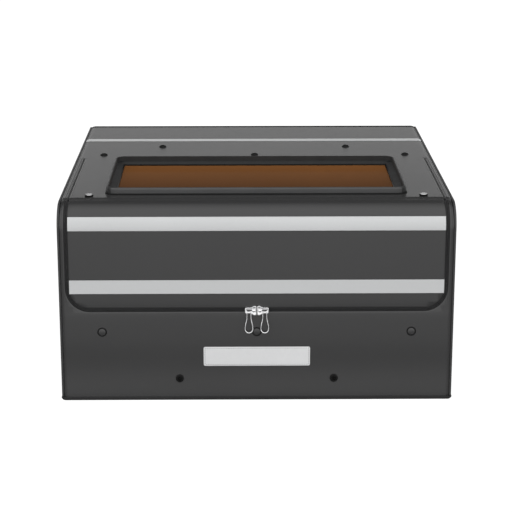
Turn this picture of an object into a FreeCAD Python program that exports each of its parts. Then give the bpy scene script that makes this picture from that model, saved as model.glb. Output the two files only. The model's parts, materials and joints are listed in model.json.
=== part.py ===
import FreeCAD
import Part
import math
import os

# Desktop laser cutter: a gantry laser engraver that stands inside a soft-sided enclosure. The
# enclosure is a box of fabric-covered boards over a rod frame. A U-shaped zip lets its front flap
# and the lid with the amber window fold up and back.
# Frame: +X to the right, +Y to the rear, +Z up, origin at the middle of the base's underside.
# All sizes are in millimetres. "back" in a name means a distance behind the front face.

Vector = FreeCAD.Vector

# ---- enclosure, driving sizes
WIDTH = 700.0
DEPTH = 720.0
HEIGHT = 360.0
PANEL_T = 4.0
FRONT_BEND_R = 45.0
REAR_BEND_R = 20.0

# ---- zip, front flap and lid
FLAP_INSET = 18.5                # flap's edge to the outside of the side wall
LID_INSET = 17.5
ZIP_BAND = 6.8                   # width of the zip that shows between flap and wall
ZIP_GAP = 0.4                    # between the two halves of the zip
ZIP_TAPE_T = 1.6
ZIP_CORNER_R = 36.0
FLAP_BOTTOM_Z = 172.3
CREASE_PAST_BEND = 3.0           # flap folds this far behind the front bend
LID_HINGE_BACK = 380.0
LID_SLIT = 3.0                   # open slit between lid and the top's side strips
CREASE_GAP = 0.4

# ---- reflective strips
STRIP_T = 0.5
DOOR_STRIP_H = 25.0
DOOR_STRIP_LOW = 26.9            # lower strip starts this far above the flap's lower edge
DOOR_STRIP_HIGH = 46.0           # upper strip starts this far below the top
REAR_STRIP_BACK = 545.0
REAR_STRIP_W = 21.0

# ---- window
WINDOW_FRONT_BACK = 80.5
WINDOW_INSET = 80.0              # frame's edge to the outside of the side wall
WINDOW_D = 269.5
WINDOW_CORNER_R = 21.0
WINDOW_RIM_H = 12.0
WINDOW_RIM_T = 5.0
WINDOW_RIM_ROUND = 3.0           # rounding of the rim's outer edge
WINDOW_RING_W = 18.0
WINDOW_LEDGE_RISE = (2.5, -1.6)  # ledge above the top's face, beside the rim and at the pane
WINDOW_FLANGE_W = 7.0            # part of the frame that rests on the lid
PANE_T = 3.0
PANE_BITE = 7.0                  # pane runs this far under the frame
RETAINER_T = 3.0
WINDOW_SCREW_R = 2.6
WINDOW_SCREW_COUNT = (5, 2)      # along the long and the short side

# ---- snaps, discs, grommets, label, trim
SNAP_R = 7.5
SNAP_H = 3.2
SNAP_POST_R = 2.9
SNAP_INSET = 52.0
FRONT_SNAP_BACK = 69.0
MIDDLE_SNAP_BACK = 414.0
REAR_SNAP_INSET = 165.0
REAR_SNAP_BACK = 491.0
DISC_R = 6.8
DISC_T = 1.2
DISC_GROOVE = 0.9
DISC_INSET = 75.0
DISC_Z = 128.3
GROMMET_X = 138.0
GROMMET_Z = 40.6
GROMMET_R = 7.2
GROMMET_BODY_R = 5.8
GROMMET_BORE_R = 4.0
GROMMET_LIP = 2.0
LABEL_HALF = 95.0
LABEL_Z = (64.0, 100.0)
LABEL_T = 1.0
PIPING_R = 2.2
PIPING_INSET = 1.4
HEM_H = 6.0
HEM_T = 1.0

# ---- rod frame
ROD_R = 5.0
ROD_OFFSET = 9.0                 # rod axis to the panels' inner faces
ROD_BEND_R = 20.0
HEADER_PAST_CREASE = 5.0
MID_ROD_BACK = 405.0
TEE_HALF = 8.0
TEE_CLEAR = 0.05
TEE_LENGTH = 20.0

# ---- zip sliders and pulls
SLIDER_LEN = 20.0
SLIDER_T = 4.6
SLIDER_TALL = 17.4               # height at the nose, where the two sliders meet
SLIDER_SHORT = 10.4              # height at the tail
SLIDER_GAP = 0.8                 # half the gap between the two noses
SLIDER_CLEAR = 0.4
LUG_LEN = 4.8
LUG_H = 5.0
PULL_WIRE_R = 1.0
PULL_PIN_CLEAR = 0.12
PULL_NECK_HALF = 3.9
PULL_END_R = 6.8
PULL_DROP = 31.0                 # pin to the centre of the loop's round end
PULL_X = 14.0

# ---- exhaust fan in the rear wall
FAN_X = 170.0
FAN_BELOW_TOP = 130.0            # fan's axis below the top
FAN_SIZE = 120.0
FAN_T = 38.0
FAN_BORE_R = 56.0
FAN_HUB_R = 20.0
FAN_AXLE_R = 3.0
FAN_AXLE_CLEAR = 0.06
FAN_BLADES = 7
FAN_TIP_CLEAR = 2.5
DUCT_R = 50.0
DUCT_WALL = 2.0
DUCT_LEN = 40.0
DUCT_FLANGE = 130.0
DUCT_FLANGE_T = 3.0
GUARD_WIRE = 2.0
GUARD_RINGS = (22.0, 34.0, 46.0, 57.0)

# ---- engraver frame
RAIL_W = 20.0
RAIL_H = 40.0
RAIL_INSET = 95.0                # rails' middle to the outside of the side wall
RAIL_END_GAP = 90.0              # rails' end to the outside of the front or rear wall
RAIL_Z = 50.0                    # underside of the rails
SLOT_W = 6.0
SLOT_DEPTH = 5.0
FOOT_LEN = 28.0
FOOT_W = 40.0
FOOT_RISE = 6.0                  # foot stands this far above the rail
GUIDE_W = 12.0
GUIDE_H = 8.0
GUIDE_END = 8.0                  # guide stops this far short of the rail's end
GUIDE_CLEAR = 0.4
BED_SIDE_GAP = 30.0              # bed's edge to the side rails
BED_END_GAP = 35.0               # bed's edge to the cross rails
BED_H = 22.0
BED_BORDER = 12.0
BED_SLAT_T = 2.0
BED_SLATS = 19
BED_BACK_SHIFT = -10.0

# ---- belts, pulleys and motors
PULLEY_R = 8.0
PULLEY_W = 8.0
BELT_CLEAR = 0.35
BELT_T = 1.4
BELT_W = 6.0
MOTOR_SIZE = 42.0
MOTOR_LEN = 40.0
Y_BELT_INSET = 13.0              # belt's middle to the side rail's inner face
Y_AXLE_Z = 76.0
Y_AXLE_END = 44.0                # drive shaft and idlers to the side rails' ends
Y_SHAFT_R = 3.0
Y_MOTOR_X = -40.0
BEARING_R = 8.0
IDLER_PIN_R = 2.5
SHAFT_CLEAR = 0.06

# ---- gantry and carriage, at rest
GANTRY_FROM_END = 160.0          # beam's middle to the side rails' rear ends
CARRIAGE_X = -120.0
BLOCK_LEN = 45.0
BLOCK_W = 27.0
BLOCK_H = 12.0
END_PLATE_T = 6.0
BEAM_OVERHANG = 20.0             # beam's end past the side rails' middle
BRACKET_T = 2.0
X_AXLE_INSET = 17.0              # X pulley and idler to the beam's ends
X_AXLE_RISE = 13.0               # X belt axis above the beam
CLAMP_HALF = 12.0
CARRIAGE_W = 60.0
CARRIAGE_BLOCK_HALF = 22.0
CARRIAGE_PLATE_T = 6.0
CARRIAGE_Z = (95.0, 172.0)
LASER_W = 52.0
LASER_D = 54.0
LASER_Z = (78.0, 190.0)
LASER_SLIDE_CLEAR = 0.5
NOZZLE_R = 9.0
NOZZLE_LEN = 16.0
LASER_FINS = 7
LASER_FAN_H = 10.0
LASER_FAN_R = 18.5
LASER_FAN_HUB_R = 7.0

# ---- control box
CONTROL_FROM_RAIL = 50.0         # box's left side to the middle of the left rail
CONTROL_W = 120.0
CONTROL_D = 38.0
CONTROL_H = 46.0
POWER_R = 7.0
POWER_PROUD = 3.0
STOP_HEAD_R = 14.0
STOP_HEAD_H = 8.0
STOP_STEM_R = 6.0
STOP_TRAVEL = 4.0
BUTTON_CLEAR = 0.3
BUTTON_DEPTH = 12.0

# ---- places that follow from the sizes above
FRONT = -DEPTH / 2
REAR = DEPTH / 2
SIDE_IN = WIDTH / 2 - PANEL_T
FRONT_IN = FRONT + PANEL_T
REAR_IN = REAR - PANEL_T
TOP_IN = HEIGHT - PANEL_T
FLOOR = PANEL_T
BEND_SPLIT_Z = HEIGHT - max(FRONT_BEND_R, REAR_BEND_R)
CREASE_Y = FRONT + FRONT_BEND_R + CREASE_PAST_BEND
HINGE_Y = FRONT + LID_HINGE_BACK
FLAP_HALF = WIDTH / 2 - FLAP_INSET
LID_HALF = WIDTH / 2 - LID_INSET
ZIP_OUT = FLAP_HALF + ZIP_BAND
ZIP_BOTTOM_Z = FLAP_BOTTOM_Z - ZIP_BAND
ZIP_MID = FLAP_HALF + ZIP_BAND / 2
ZIP_MID_Z = FLAP_BOTTOM_Z - ZIP_BAND / 2
WINDOW_W = WIDTH - 2 * WINDOW_INSET
WINDOW_Y = FRONT + WINDOW_FRONT_BACK + WINDOW_D / 2
WINDOW_LEDGE_Z = tuple(HEIGHT + rise for rise in WINDOW_LEDGE_RISE)
SNAP_X = WIDTH / 2 - SNAP_INSET
REAR_SNAP_X = WIDTH / 2 - REAR_SNAP_INSET
DISC_X = WIDTH / 2 - DISC_INSET
FAN_Z = HEIGHT - FAN_BELOW_TOP
RAIL_X = WIDTH / 2 - RAIL_INSET
RAIL_HALF_LEN = DEPTH / 2 - RAIL_END_GAP
RAIL_TOP = RAIL_Z + RAIL_H
RAIL_INNER = RAIL_X - RAIL_W / 2
Y_BELT_X = RAIL_INNER - Y_BELT_INSET
Y_AXLE_Y = RAIL_HALF_LEN - Y_AXLE_END
GANTRY_Y = RAIL_HALF_LEN - GANTRY_FROM_END
BEAM_HALF_LEN = RAIL_X + BEAM_OVERHANG
X_AXLE_X = BEAM_HALF_LEN - X_AXLE_INSET
BELT_IN_R = PULLEY_R + BELT_CLEAR
BELT_OUT_R = BELT_IN_R + BELT_T
BEAM_Z = RAIL_TOP + GUIDE_CLEAR + GUIDE_H + BLOCK_H / 2 + END_PLATE_T
BEAM_TOP = BEAM_Z + RAIL_H
X_AXLE_Z = BEAM_TOP + X_AXLE_RISE
MOTOR_FACE_Y = GANTRY_Y + RAIL_W / 2 + BRACKET_T
GUIDE_FACE_Y = GANTRY_Y - RAIL_W / 2
CARRIAGE_BACK_Y = GUIDE_FACE_Y - GUIDE_H - GUIDE_CLEAR - 8.0
CARRIAGE_FRONT_Y = CARRIAGE_BACK_Y - CARRIAGE_PLATE_T
LASER_BACK_Y = CARRIAGE_FRONT_Y - LASER_SLIDE_CLEAR
ROD_X = SIDE_IN - ROD_OFFSET
ROD_TOP = TOP_IN - ROD_OFFSET
ROD_BOTTOM = FLOOR + ROD_OFFSET
PIN_Y = FRONT - SLIDER_CLEAR - SLIDER_T - 1.8
PIN_Z = ZIP_MID_Z - 3.0


# ---------------------------------------------------------------- shape helpers

def box(x0, x1, y0, y1, z0, z1):
    """Box between two corners."""
    return Part.makeBox(x1 - x0, y1 - y0, z1 - z0, Vector(x0, y0, z0))


def rod(radius, start, end):
    """Round bar between two points."""
    axis = Vector(*end) - Vector(*start)
    return Part.makeCylinder(radius, axis.Length, Vector(*start), axis)


def fuse(shapes):
    """One solid from several that touch or overlap."""
    made = shapes[0].fuse(list(shapes[1:])) if len(shapes) > 1 else shapes[0]
    return made.removeSplitter()


def mirrored(shape):
    """The same shape on the other side of the middle plane."""
    return shape.mirror(Vector(0, 0, 0), Vector(1, 0, 0))


def moved(shape, x, y, z):
    """A copy of the shape, shifted."""
    copy = shape.copy()
    copy.translate(Vector(x, y, z))
    return copy


def turned(shape, axis, degrees, centre=(0, 0, 0)):
    """A copy of the shape, turned about an axis through centre."""
    copy = shape.copy()
    copy.rotate(Vector(*centre), Vector(*axis), degrees)
    return copy


def arc(start, middle, end):
    """Edge of a circle through three points."""
    return Part.Arc(Vector(*start), Vector(*middle), Vector(*end)).toShape()


def line(start, end):
    """Straight edge."""
    return Part.LineSegment(Vector(*start), Vector(*end)).toShape()


def corner_arc(cx, cy, radius, from_deg, to_deg, place):
    """Quarter round of an outline. place turns two flat coordinates into a point."""
    points = []
    for angle in (from_deg, (from_deg + to_deg) / 2, to_deg):
        a = math.radians(angle)
        points.append(place(cx + radius * math.cos(a), cy + radius * math.sin(a)))
    return arc(*points)


def outline(edges):
    """Closed face from edges that run end to end."""
    return Part.Face(Part.Wire(edges))


def rounded_plate(half_w, half_d, radius, z0, z1, y_mid=0.0):
    """Flat plate in X and Y with round corners."""
    def place(x, y):
        return (x, y_mid + y, z0)

    w = half_w - radius
    d = half_d - radius
    edges = [line(place(-w, -half_d), place(w, -half_d)),
             corner_arc(w, -d, radius, -90, 0, place),
             line(place(half_w, -d), place(half_w, d)),
             corner_arc(w, d, radius, 0, 90, place),
             line(place(w, half_d), place(-w, half_d)),
             corner_arc(-w, d, radius, 90, 180, place),
             line(place(-half_w, d), place(-half_w, -d)),
             corner_arc(-w, -d, radius, 180, 270, place)]
    return outline(edges).extrude(Vector(0, 0, z1 - z0))


def side_profile(inset, bottom, x=0.0):
    """Face of the box seen from the side, with its front and rear bends, drawn inset from outside."""
    def place(y, z):
        return (x, y, z)

    front = FRONT + inset
    rear = REAR - inset
    top = HEIGHT - inset
    rf = FRONT_BEND_R - inset
    rr = REAR_BEND_R - inset
    edges = [line(place(front, bottom), place(front, top - rf)),
             corner_arc(front + rf, top - rf, rf, 180, 90, place),
             line(place(front + rf, top), place(rear - rr, top)),
             corner_arc(rear - rr, top - rr, rr, 90, 0, place),
             line(place(rear, top - rr), place(rear, bottom)),
             line(place(rear, bottom), place(front, bottom))]
    return outline(edges)


def wrap(half_w, outer=0.0, inner=PANEL_T):
    """Board that runs up the front, over the top and down the rear, between two insets."""
    length = Vector(2 * half_w, 0, 0)
    solid = side_profile(outer, 0.0, -half_w).extrude(length)
    return solid.cut(side_profile(inner, -1.0, -half_w).extrude(length))


def u_prism(half_w, bottom, radius, y0, y1, top=HEIGHT + 50.0):
    """Upright block with its two bottom corners round, used to cut the flap and its opening."""
    def place(x, z):
        return (x, y0, z)

    w = half_w - radius
    edges = [line(place(-w, bottom), place(w, bottom)),
             corner_arc(w, bottom + radius, radius, -90, 0, place),
             line(place(half_w, bottom + radius), place(half_w, top)),
             line(place(half_w, top), place(-half_w, top)),
             line(place(-half_w, top), place(-half_w, bottom + radius)),
             corner_arc(-w, bottom + radius, radius, 180, 270, place)]
    return outline(edges).extrude(Vector(0, y1 - y0, 0))


def swept(edges, radius, start, direction):
    """Round bar along a path of lines and tangent arcs."""
    circle = Part.Wire(Part.makeCircle(radius, Vector(*start), Vector(*direction)))
    return Part.Wire(edges).makePipeShell([circle], True, False)


def slotted_bar(axis, length, width, height, centre):
    """T-slot bar along X or Y, with one slot on each narrow side and two on each wide side."""
    w, h = width / 2, height / 2
    cuts = [box(-length, length, -SLOT_W / 2, SLOT_W / 2, z, z + SLOT_DEPTH)
            for z in (-h, h - SLOT_DEPTH)]
    for z in (-h / 2, h / 2):
        for y in (-w, w - SLOT_DEPTH):
            cuts.append(box(-length, length, y, y + SLOT_DEPTH, z - SLOT_W / 2, z + SLOT_W / 2))
    bar = box(-length / 2, length / 2, -w, w, -h, h).cut(cuts)
    if axis == "Y":
        bar = turned(bar, (0, 0, 1), 90)
    return moved(bar, *centre)


def export(name, solids):
    """Writes one node. Several solids of one node go in as a compound."""
    shape = solids[0] if len(solids) == 1 else Part.makeCompound(solids)
    shape.exportStep(os.path.join("parts", name + ".step"))


# ---------------------------------------------------------------- enclosure shell

def door_opening():
    """Everything that the zip and the lid's slit free from the fixed shell."""
    front = u_prism(ZIP_OUT, ZIP_BOTTOM_Z, ZIP_CORNER_R + ZIP_BAND, FRONT - 5.0, CREASE_Y)
    half = LID_HALF + LID_SLIT
    return fuse([front, box(-half, half, CREASE_Y - 1.0, HINGE_Y, TOP_IN - 5.0, HEIGHT + 5.0)])


def snap_holes(places):
    """Round holes for snap posts through the top."""
    return [rod(SNAP_POST_R, (x, y, TOP_IN - 2.0), (x, y, HEIGHT + 2.0)) for x, y in places]


def make_fixed_shell():
    """Front, top and rear walls, the two sides and the base."""
    shell = wrap(SIDE_IN).cut(door_opening())
    split = BEND_SPLIT_Z
    far = WIDTH
    front_part = box(-far, far, FRONT - 1.0, 0.0, -1.0, split)
    rear_part = box(-far, far, 0.0, REAR + 1.0, -1.0, split)
    top_part = box(-far, far, FRONT - 1.0, REAR + 1.0, split, HEIGHT + 1.0)

    front = shell.common(front_part)
    for x in (-DISC_X, 0.0, DISC_X):
        hole = rod(DISC_R + DISC_GROOVE, (x, FRONT - 1.0, DISC_Z), (x, FRONT + DISC_T, DISC_Z))
        front = front.cut(hole)
    for x in (-GROMMET_X, GROMMET_X):
        front = front.cut(rod(GROMMET_BODY_R, (x, FRONT - 1.0, GROMMET_Z), (x, 0.0, GROMMET_Z)))
    rear = shell.common(rear_part)
    rear = rear.cut(rod(DUCT_R - DUCT_WALL, (FAN_X, 0.0, FAN_Z), (FAN_X, REAR + 1.0, FAN_Z)))
    top = shell.common(top_part).cut(snap_holes(rear_snap_places()))
    side = side_profile(0.0, 0.0, SIDE_IN).extrude(Vector(PANEL_T, 0, 0)).cut(piping_bar())
    export("front_panel", front.Solids)
    export("rear_panel", rear.Solids)
    export("top_panel", top.Solids)
    export("right_panel", side.Solids)
    export("left_panel", mirrored(side).Solids)
    export("base_panel", [box(-SIDE_IN, SIDE_IN, FRONT_IN, REAR_IN, 0.0, FLOOR)])


def piping_bar():
    """Round cord sewn into the right side's edge, from the hem over the top and down the rear."""
    def place(y, z):
        return (WIDTH / 2 - PIPING_INSET, y, z)

    inset = PIPING_INSET
    front, rear, top = FRONT + inset, REAR - inset, HEIGHT - inset
    rf, rr = FRONT_BEND_R - inset, REAR_BEND_R - inset
    edges = [line(place(front, HEM_H), place(front, top - rf)),
             corner_arc(front + rf, top - rf, rf, 180, 90, place),
             line(place(front + rf, top), place(rear - rr, top)),
             corner_arc(rear - rr, top - rr, rr, 90, 0, place),
             line(place(rear, top - rr), place(rear, HEM_H))]
    return swept(edges, PIPING_R, place(front, HEM_H), (0, 0, 1))


def make_trim():
    """Piping along the side edges, the hem round the foot, the rear strip and the label."""
    export("edge_piping", [piping_bar(), mirrored(piping_bar())])
    wide = WIDTH / 2 + HEM_T
    front_hem = box(-wide, wide, FRONT - HEM_T, FRONT, 0.0, HEM_H)
    rear_hem = box(-wide, wide, REAR, REAR + HEM_T, 0.0, HEM_H)
    side_hem = box(WIDTH / 2, wide, FRONT, REAR, 0.0, HEM_H)
    export("hem_binding", [front_hem, rear_hem, side_hem, mirrored(side_hem)])
    y = FRONT + REAR_STRIP_BACK
    export("rear_reflective_strip", [box(-SIDE_IN, SIDE_IN, y, y + REAR_STRIP_W, HEIGHT, HEIGHT + STRIP_T)])
    label = box(-LABEL_HALF, LABEL_HALF, FRONT - LABEL_T, FRONT, *LABEL_Z)
    label = label.makeFillet(3.0, [e for e in label.Edges if e.Length <= LABEL_T + 0.01])
    export("label_patch", [label])


# ---------------------------------------------------------------- zip, flap and lid

def zip_half(inner_half, outer_half, inner_bottom, inner_r):
    """One side of the zip: a thin U band inside the front wall's and bend's thickness."""
    depth = (PANEL_T - ZIP_TAPE_T) / 2
    band = wrap(outer_half, depth, depth + ZIP_TAPE_T)
    grow = outer_half - inner_half
    keep = u_prism(outer_half, inner_bottom - grow, inner_r + grow, FRONT - 5.0, CREASE_Y)
    drop = u_prism(inner_half, inner_bottom, inner_r, FRONT - 6.0, CREASE_Y + 1.0)
    return band.common(keep).cut(drop)


def make_zip():
    """The wall's and the flap's halves of the zip."""
    middle_r = ZIP_CORNER_R + ZIP_BAND / 2
    gap = ZIP_GAP / 2
    fixed = zip_half(ZIP_MID + gap, ZIP_OUT, ZIP_MID_Z - gap, middle_r + gap)
    moving = zip_half(FLAP_HALF, ZIP_MID - gap, FLAP_BOTTOM_Z, ZIP_CORNER_R)
    export("zipper_tape", fixed.Solids)
    export("door_zipper_tape", moving.Solids)


def strip_top(z):
    """Height reached by a strip that starts at height z and follows the flap round its bend."""
    bend_z = HEIGHT - FRONT_BEND_R
    if z >= bend_z:
        start = math.asin((z - bend_z) / FRONT_BEND_R)
        return bend_z + FRONT_BEND_R * math.sin(start + DOOR_STRIP_H / FRONT_BEND_R)
    past = z + DOOR_STRIP_H - bend_z
    return bend_z + (FRONT_BEND_R * math.sin(past / FRONT_BEND_R) if past > 0 else past)


def make_door_flap():
    """Front flap with its bend, and the two reflective strips on it."""
    keep = u_prism(FLAP_HALF, FLAP_BOTTOM_Z, ZIP_CORNER_R, FRONT - 5.0, CREASE_Y - CREASE_GAP)
    export("door_flap", wrap(FLAP_HALF).common(keep).Solids)
    strips = []
    for z in (FLAP_BOTTOM_Z + DOOR_STRIP_LOW, HEIGHT - DOOR_STRIP_HIGH):
        skin = wrap(FLAP_HALF, -STRIP_T, 0.0)
        part = skin.common(box(-FLAP_HALF, FLAP_HALF, FRONT - 5.0, FRONT + 30.0, z, strip_top(z)))
        strips += part.Solids
    export("door_reflective_strips", strips)


def make_lid():
    """Flat lid behind the flap's crease, with the window's opening."""
    lid = box(-LID_HALF, LID_HALF, CREASE_Y, HINGE_Y - CREASE_GAP, TOP_IN, HEIGHT)
    hole = rounded_plate(WINDOW_W / 2 - WINDOW_FLANGE_W, WINDOW_D / 2 - WINDOW_FLANGE_W,
                         WINDOW_CORNER_R - WINDOW_FLANGE_W, TOP_IN - 1.0, HEIGHT + 1.0, WINDOW_Y)
    export("lid_panel", lid.cut([hole] + snap_holes(lid_snap_places())).Solids)


def window_layer(ring, z0, z1):
    """Plate that is smaller than the window's outside by ring all round."""
    radius = max(WINDOW_CORNER_R - ring, 4.0)
    return rounded_plate(WINDOW_W / 2 - ring, WINDOW_D / 2 - ring, radius, z0, z1, WINDOW_Y)


def window_slope():
    """Sloping sides that lead from the frame's ledge down to the pane."""
    high, low = WINDOW_LEDGE_Z
    outer_half = (WINDOW_W / 2 - WINDOW_RIM_T, WINDOW_D / 2 - WINDOW_RIM_T)
    inner_half = (WINDOW_W / 2 - WINDOW_RING_W, WINDOW_D / 2 - WINDOW_RING_W)
    wires = []
    for (w, d), z in ((outer_half, high), (inner_half, low)):
        corners = [(-w, -d), (w, -d), (w, d), (-w, d), (-w, -d)]
        wires.append(Part.makePolygon([Vector(x, WINDOW_Y + y, z) for x, y in corners]))
    return Part.makeLoft(wires, True, True)


def make_window():
    """Raised frame, amber pane, clamping ring beneath it and the ring's screws."""
    under_frame = WINDOW_LEDGE_Z[1] - 2.0
    top = HEIGHT + WINDOW_RIM_H
    frame = window_layer(0.0, HEIGHT, top)
    edge = [e for e in frame.Edges if all(abs(v.Z - top) < 0.01 for v in e.Vertexes)]
    frame = frame.makeFillet(WINDOW_RIM_ROUND, edge)
    frame = frame.fuse(window_layer(WINDOW_FLANGE_W + 0.1, under_frame, HEIGHT))
    frame = frame.cut(window_layer(WINDOW_RIM_T, WINDOW_LEDGE_Z[0], top + 1.0))
    frame = frame.cut(window_slope())
    frame = frame.cut(window_layer(WINDOW_RING_W, under_frame - 1.0, top))
    export("window_frame", frame.removeSplitter().Solids)

    pane_ring = WINDOW_RING_W - PANE_BITE
    pane_z = under_frame - PANE_T
    export("window_pane", [window_layer(pane_ring, pane_z, under_frame)])

    low = pane_z - RETAINER_T
    retainer = window_layer(2.0, low, TOP_IN).cut(window_layer(pane_ring - 0.3, pane_z, TOP_IN))
    retainer = retainer.cut(window_layer(WINDOW_RING_W - 1.0, low - 1.0, TOP_IN))
    retainer = retainer.cut(window_layer(WINDOW_FLANGE_W, under_frame, TOP_IN + 1.0))
    export("window_retainer", retainer.Solids)

    screws = []
    along, across = WINDOW_SCREW_COUNT
    dx = WINDOW_W / 2 - pane_ring / 2
    dy = WINDOW_D / 2 - pane_ring / 2
    places = [(-dx + 2 * dx * i / (along - 1), side * dy) for i in range(along) for side in (-1, 1)]
    places += [(side * dx, -dy + 2 * dy * i / (across + 1)) for i in range(1, across + 1)
               for side in (-1, 1)]
    for x, y in places:
        head = rod(WINDOW_SCREW_R, (x, WINDOW_Y + y, low - 1.6), (x, WINDOW_Y + y, low))
        screws.append(head.makeChamfer(0.5, [head.Edges[2]]))
    export("window_screws", screws)


# ---------------------------------------------------------------- snaps, discs, grommets

def lid_snap_places():
    """Two snaps at the lid's front corners."""
    return [(x, FRONT + FRONT_SNAP_BACK) for x in (-SNAP_X, SNAP_X)]


def rear_snap_places():
    """Three snaps behind the lid's hinge, and two further back."""
    row = [(x, FRONT + MIDDLE_SNAP_BACK) for x in (-SNAP_X, 0.0, SNAP_X)]
    return row + [(x, FRONT + REAR_SNAP_BACK) for x in (-REAR_SNAP_X, REAR_SNAP_X)]


def snap(x, y):
    """Round snap cap on the top, with its post and the washer inside."""
    cap = rod(SNAP_R, (x, y, HEIGHT), (x, y, HEIGHT + SNAP_H))
    rim = [e for e in cap.Edges if e.Vertexes[0].Z > HEIGHT + 0.1 and len(e.Vertexes) == 1]
    cap = cap.makeFillet(1.4, rim)
    post = rod(SNAP_POST_R - 0.05, (x, y, TOP_IN - 1.5), (x, y, HEIGHT))
    washer = rod(SNAP_R - 2.0, (x, y, TOP_IN - 1.5), (x, y, TOP_IN))
    return fuse([cap, post, washer])


def make_snaps():
    """Snap caps, the flush discs on the front wall and the two cable grommets."""
    export("rear_snaps", [snap(x, y) for x, y in rear_snap_places()])
    export("lid_snaps", [snap(x, y) for x, y in lid_snap_places()])
    discs = [rod(DISC_R, (x, FRONT, DISC_Z), (x, FRONT + DISC_T, DISC_Z)) for x in (-DISC_X, 0.0, DISC_X)]
    export("front_snap_discs", discs)
    grommets = []
    for x in (-GROMMET_X, GROMMET_X):
        outer = rod(GROMMET_R, (x, FRONT - GROMMET_LIP, GROMMET_Z), (x, FRONT, GROMMET_Z))
        edge = [e for e in outer.Edges if e.Vertexes[0].Y < FRONT - 0.1 and len(e.Vertexes) == 1]
        outer = outer.makeFillet(1.3, edge)
        inner = rod(GROMMET_R, (x, FRONT_IN, GROMMET_Z), (x, FRONT_IN + GROMMET_LIP, GROMMET_Z))
        neck = rod(GROMMET_BODY_R - 0.05, (x, FRONT, GROMMET_Z), (x, FRONT_IN, GROMMET_Z))
        bore = rod(GROMMET_BORE_R, (x, FRONT - 10.0, GROMMET_Z), (x, FRONT + 20.0, GROMMET_Z))
        grommets.append(fuse([outer, neck, inner]).cut(bore))
    export("cable_grommets", grommets)


# ---------------------------------------------------------------- rod frame

def make_rod_frame():
    """Two bent hoops beside the walls, five cross rods between them and the tees at their ends."""
    def place(y, z):
        return (ROD_X, y, z)

    front, rear = FRONT_IN + ROD_OFFSET, REAR_IN - ROD_OFFSET
    rf = FRONT_BEND_R - PANEL_T - ROD_OFFSET
    rb = ROD_BEND_R
    edges = [line(place(front, ROD_BOTTOM + rb), place(front, ROD_TOP - rf)),
             corner_arc(front + rf, ROD_TOP - rf, rf, 180, 90, place),
             line(place(front + rf, ROD_TOP), place(rear - rb, ROD_TOP)),
             corner_arc(rear - rb, ROD_TOP - rb, rb, 90, 0, place),
             line(place(rear, ROD_TOP - rb), place(rear, ROD_BOTTOM + rb)),
             corner_arc(rear - rb, ROD_BOTTOM + rb, rb, 0, -90, place),
             line(place(rear - rb, ROD_BOTTOM), place(front + rb, ROD_BOTTOM)),
             corner_arc(front + rb, ROD_BOTTOM + rb, rb, 270, 180, place)]
    hoop = swept(edges, ROD_R, place(front, ROD_BOTTOM + rb), (0, 0, 1))
    export("frame_hoops", [hoop, mirrored(hoop)])

    bottom_in = rb + TEE_HALF + 4.0
    spots = [(front + bottom_in, ROD_BOTTOM), (rear - bottom_in, ROD_BOTTOM),
             (rear - bottom_in, ROD_TOP), (FRONT + MID_ROD_BACK, ROD_TOP),
             (CREASE_Y + HEADER_PAST_CREASE, ROD_TOP)]
    reach = ROD_X - ROD_R
    export("frame_cross_rods", [rod(ROD_R, (-reach, y, z), (reach, y, z)) for y, z in spots])
    tees = []
    for y, z in spots:
        low = FLOOR if z < HEIGHT / 2 else z - TEE_HALF
        block = box(ROD_X - ROD_R - TEE_LENGTH / 2, SIDE_IN,
                    y - TEE_HALF, y + TEE_HALF, low, z + TEE_HALF)
        along_y = [e for e in block.Edges if abs(e.Vertexes[0].Y - e.Vertexes[1].Y) > 1.0]
        block = block.makeFillet(2.5, along_y)
        grip = ROD_R + TEE_CLEAR
        block = block.cut([rod(grip, (ROD_X, y - 50.0, z), (ROD_X, y + 50.0, z)),
                           rod(grip, (0.0, y, z), (ROD_X, y, z))])
        tees += [block.Solids[0], mirrored(block.Solids[0])]
    export("frame_tees", tees)


# ---------------------------------------------------------------- zip sliders

def slider(side):
    """Tapered slider body with a drilled lug for the pull. side is -1 for left and 1 for right."""
    y_back = FRONT - SLIDER_CLEAR
    tall, short = SLIDER_TALL / 2, SLIDER_SHORT / 2
    nose, waist, tail = SLIDER_GAP, SLIDER_GAP + SLIDER_LEN * 0.45, SLIDER_GAP + SLIDER_LEN
    half = [(nose, tall - 1.2), (nose + 1.2, tall), (waist, short), (tail - 1.0, short),
            (tail, short - 1.0)]
    ring = half + [(x, -z) for x, z in reversed(half)]
    points = [Vector(side * x, y_back, ZIP_MID_Z + z) for x, z in ring]
    body = Part.Face(Part.makePolygon(points + points[:1])).extrude(Vector(0, -SLIDER_T, 0))
    front_y = y_back - SLIDER_T
    rim = [e for e in body.Edges if all(abs(v.Y - front_y) < 0.01 for v in e.Vertexes)]
    body = body.makeChamfer(0.8, rim)
    x0, x1 = side * PULL_X - LUG_LEN / 2, side * PULL_X + LUG_LEN / 2
    lug = box(x0, x1, PIN_Y - 1.8, front_y, PIN_Z - LUG_H / 2, PIN_Z + LUG_H / 2)
    hole_r = PULL_WIRE_R + PULL_PIN_CLEAR
    return fuse([body, lug]).cut(rod(hole_r, (x0 - 5.0, PIN_Y, PIN_Z), (x1 + 5.0, PIN_Y, PIN_Z)))


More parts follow.
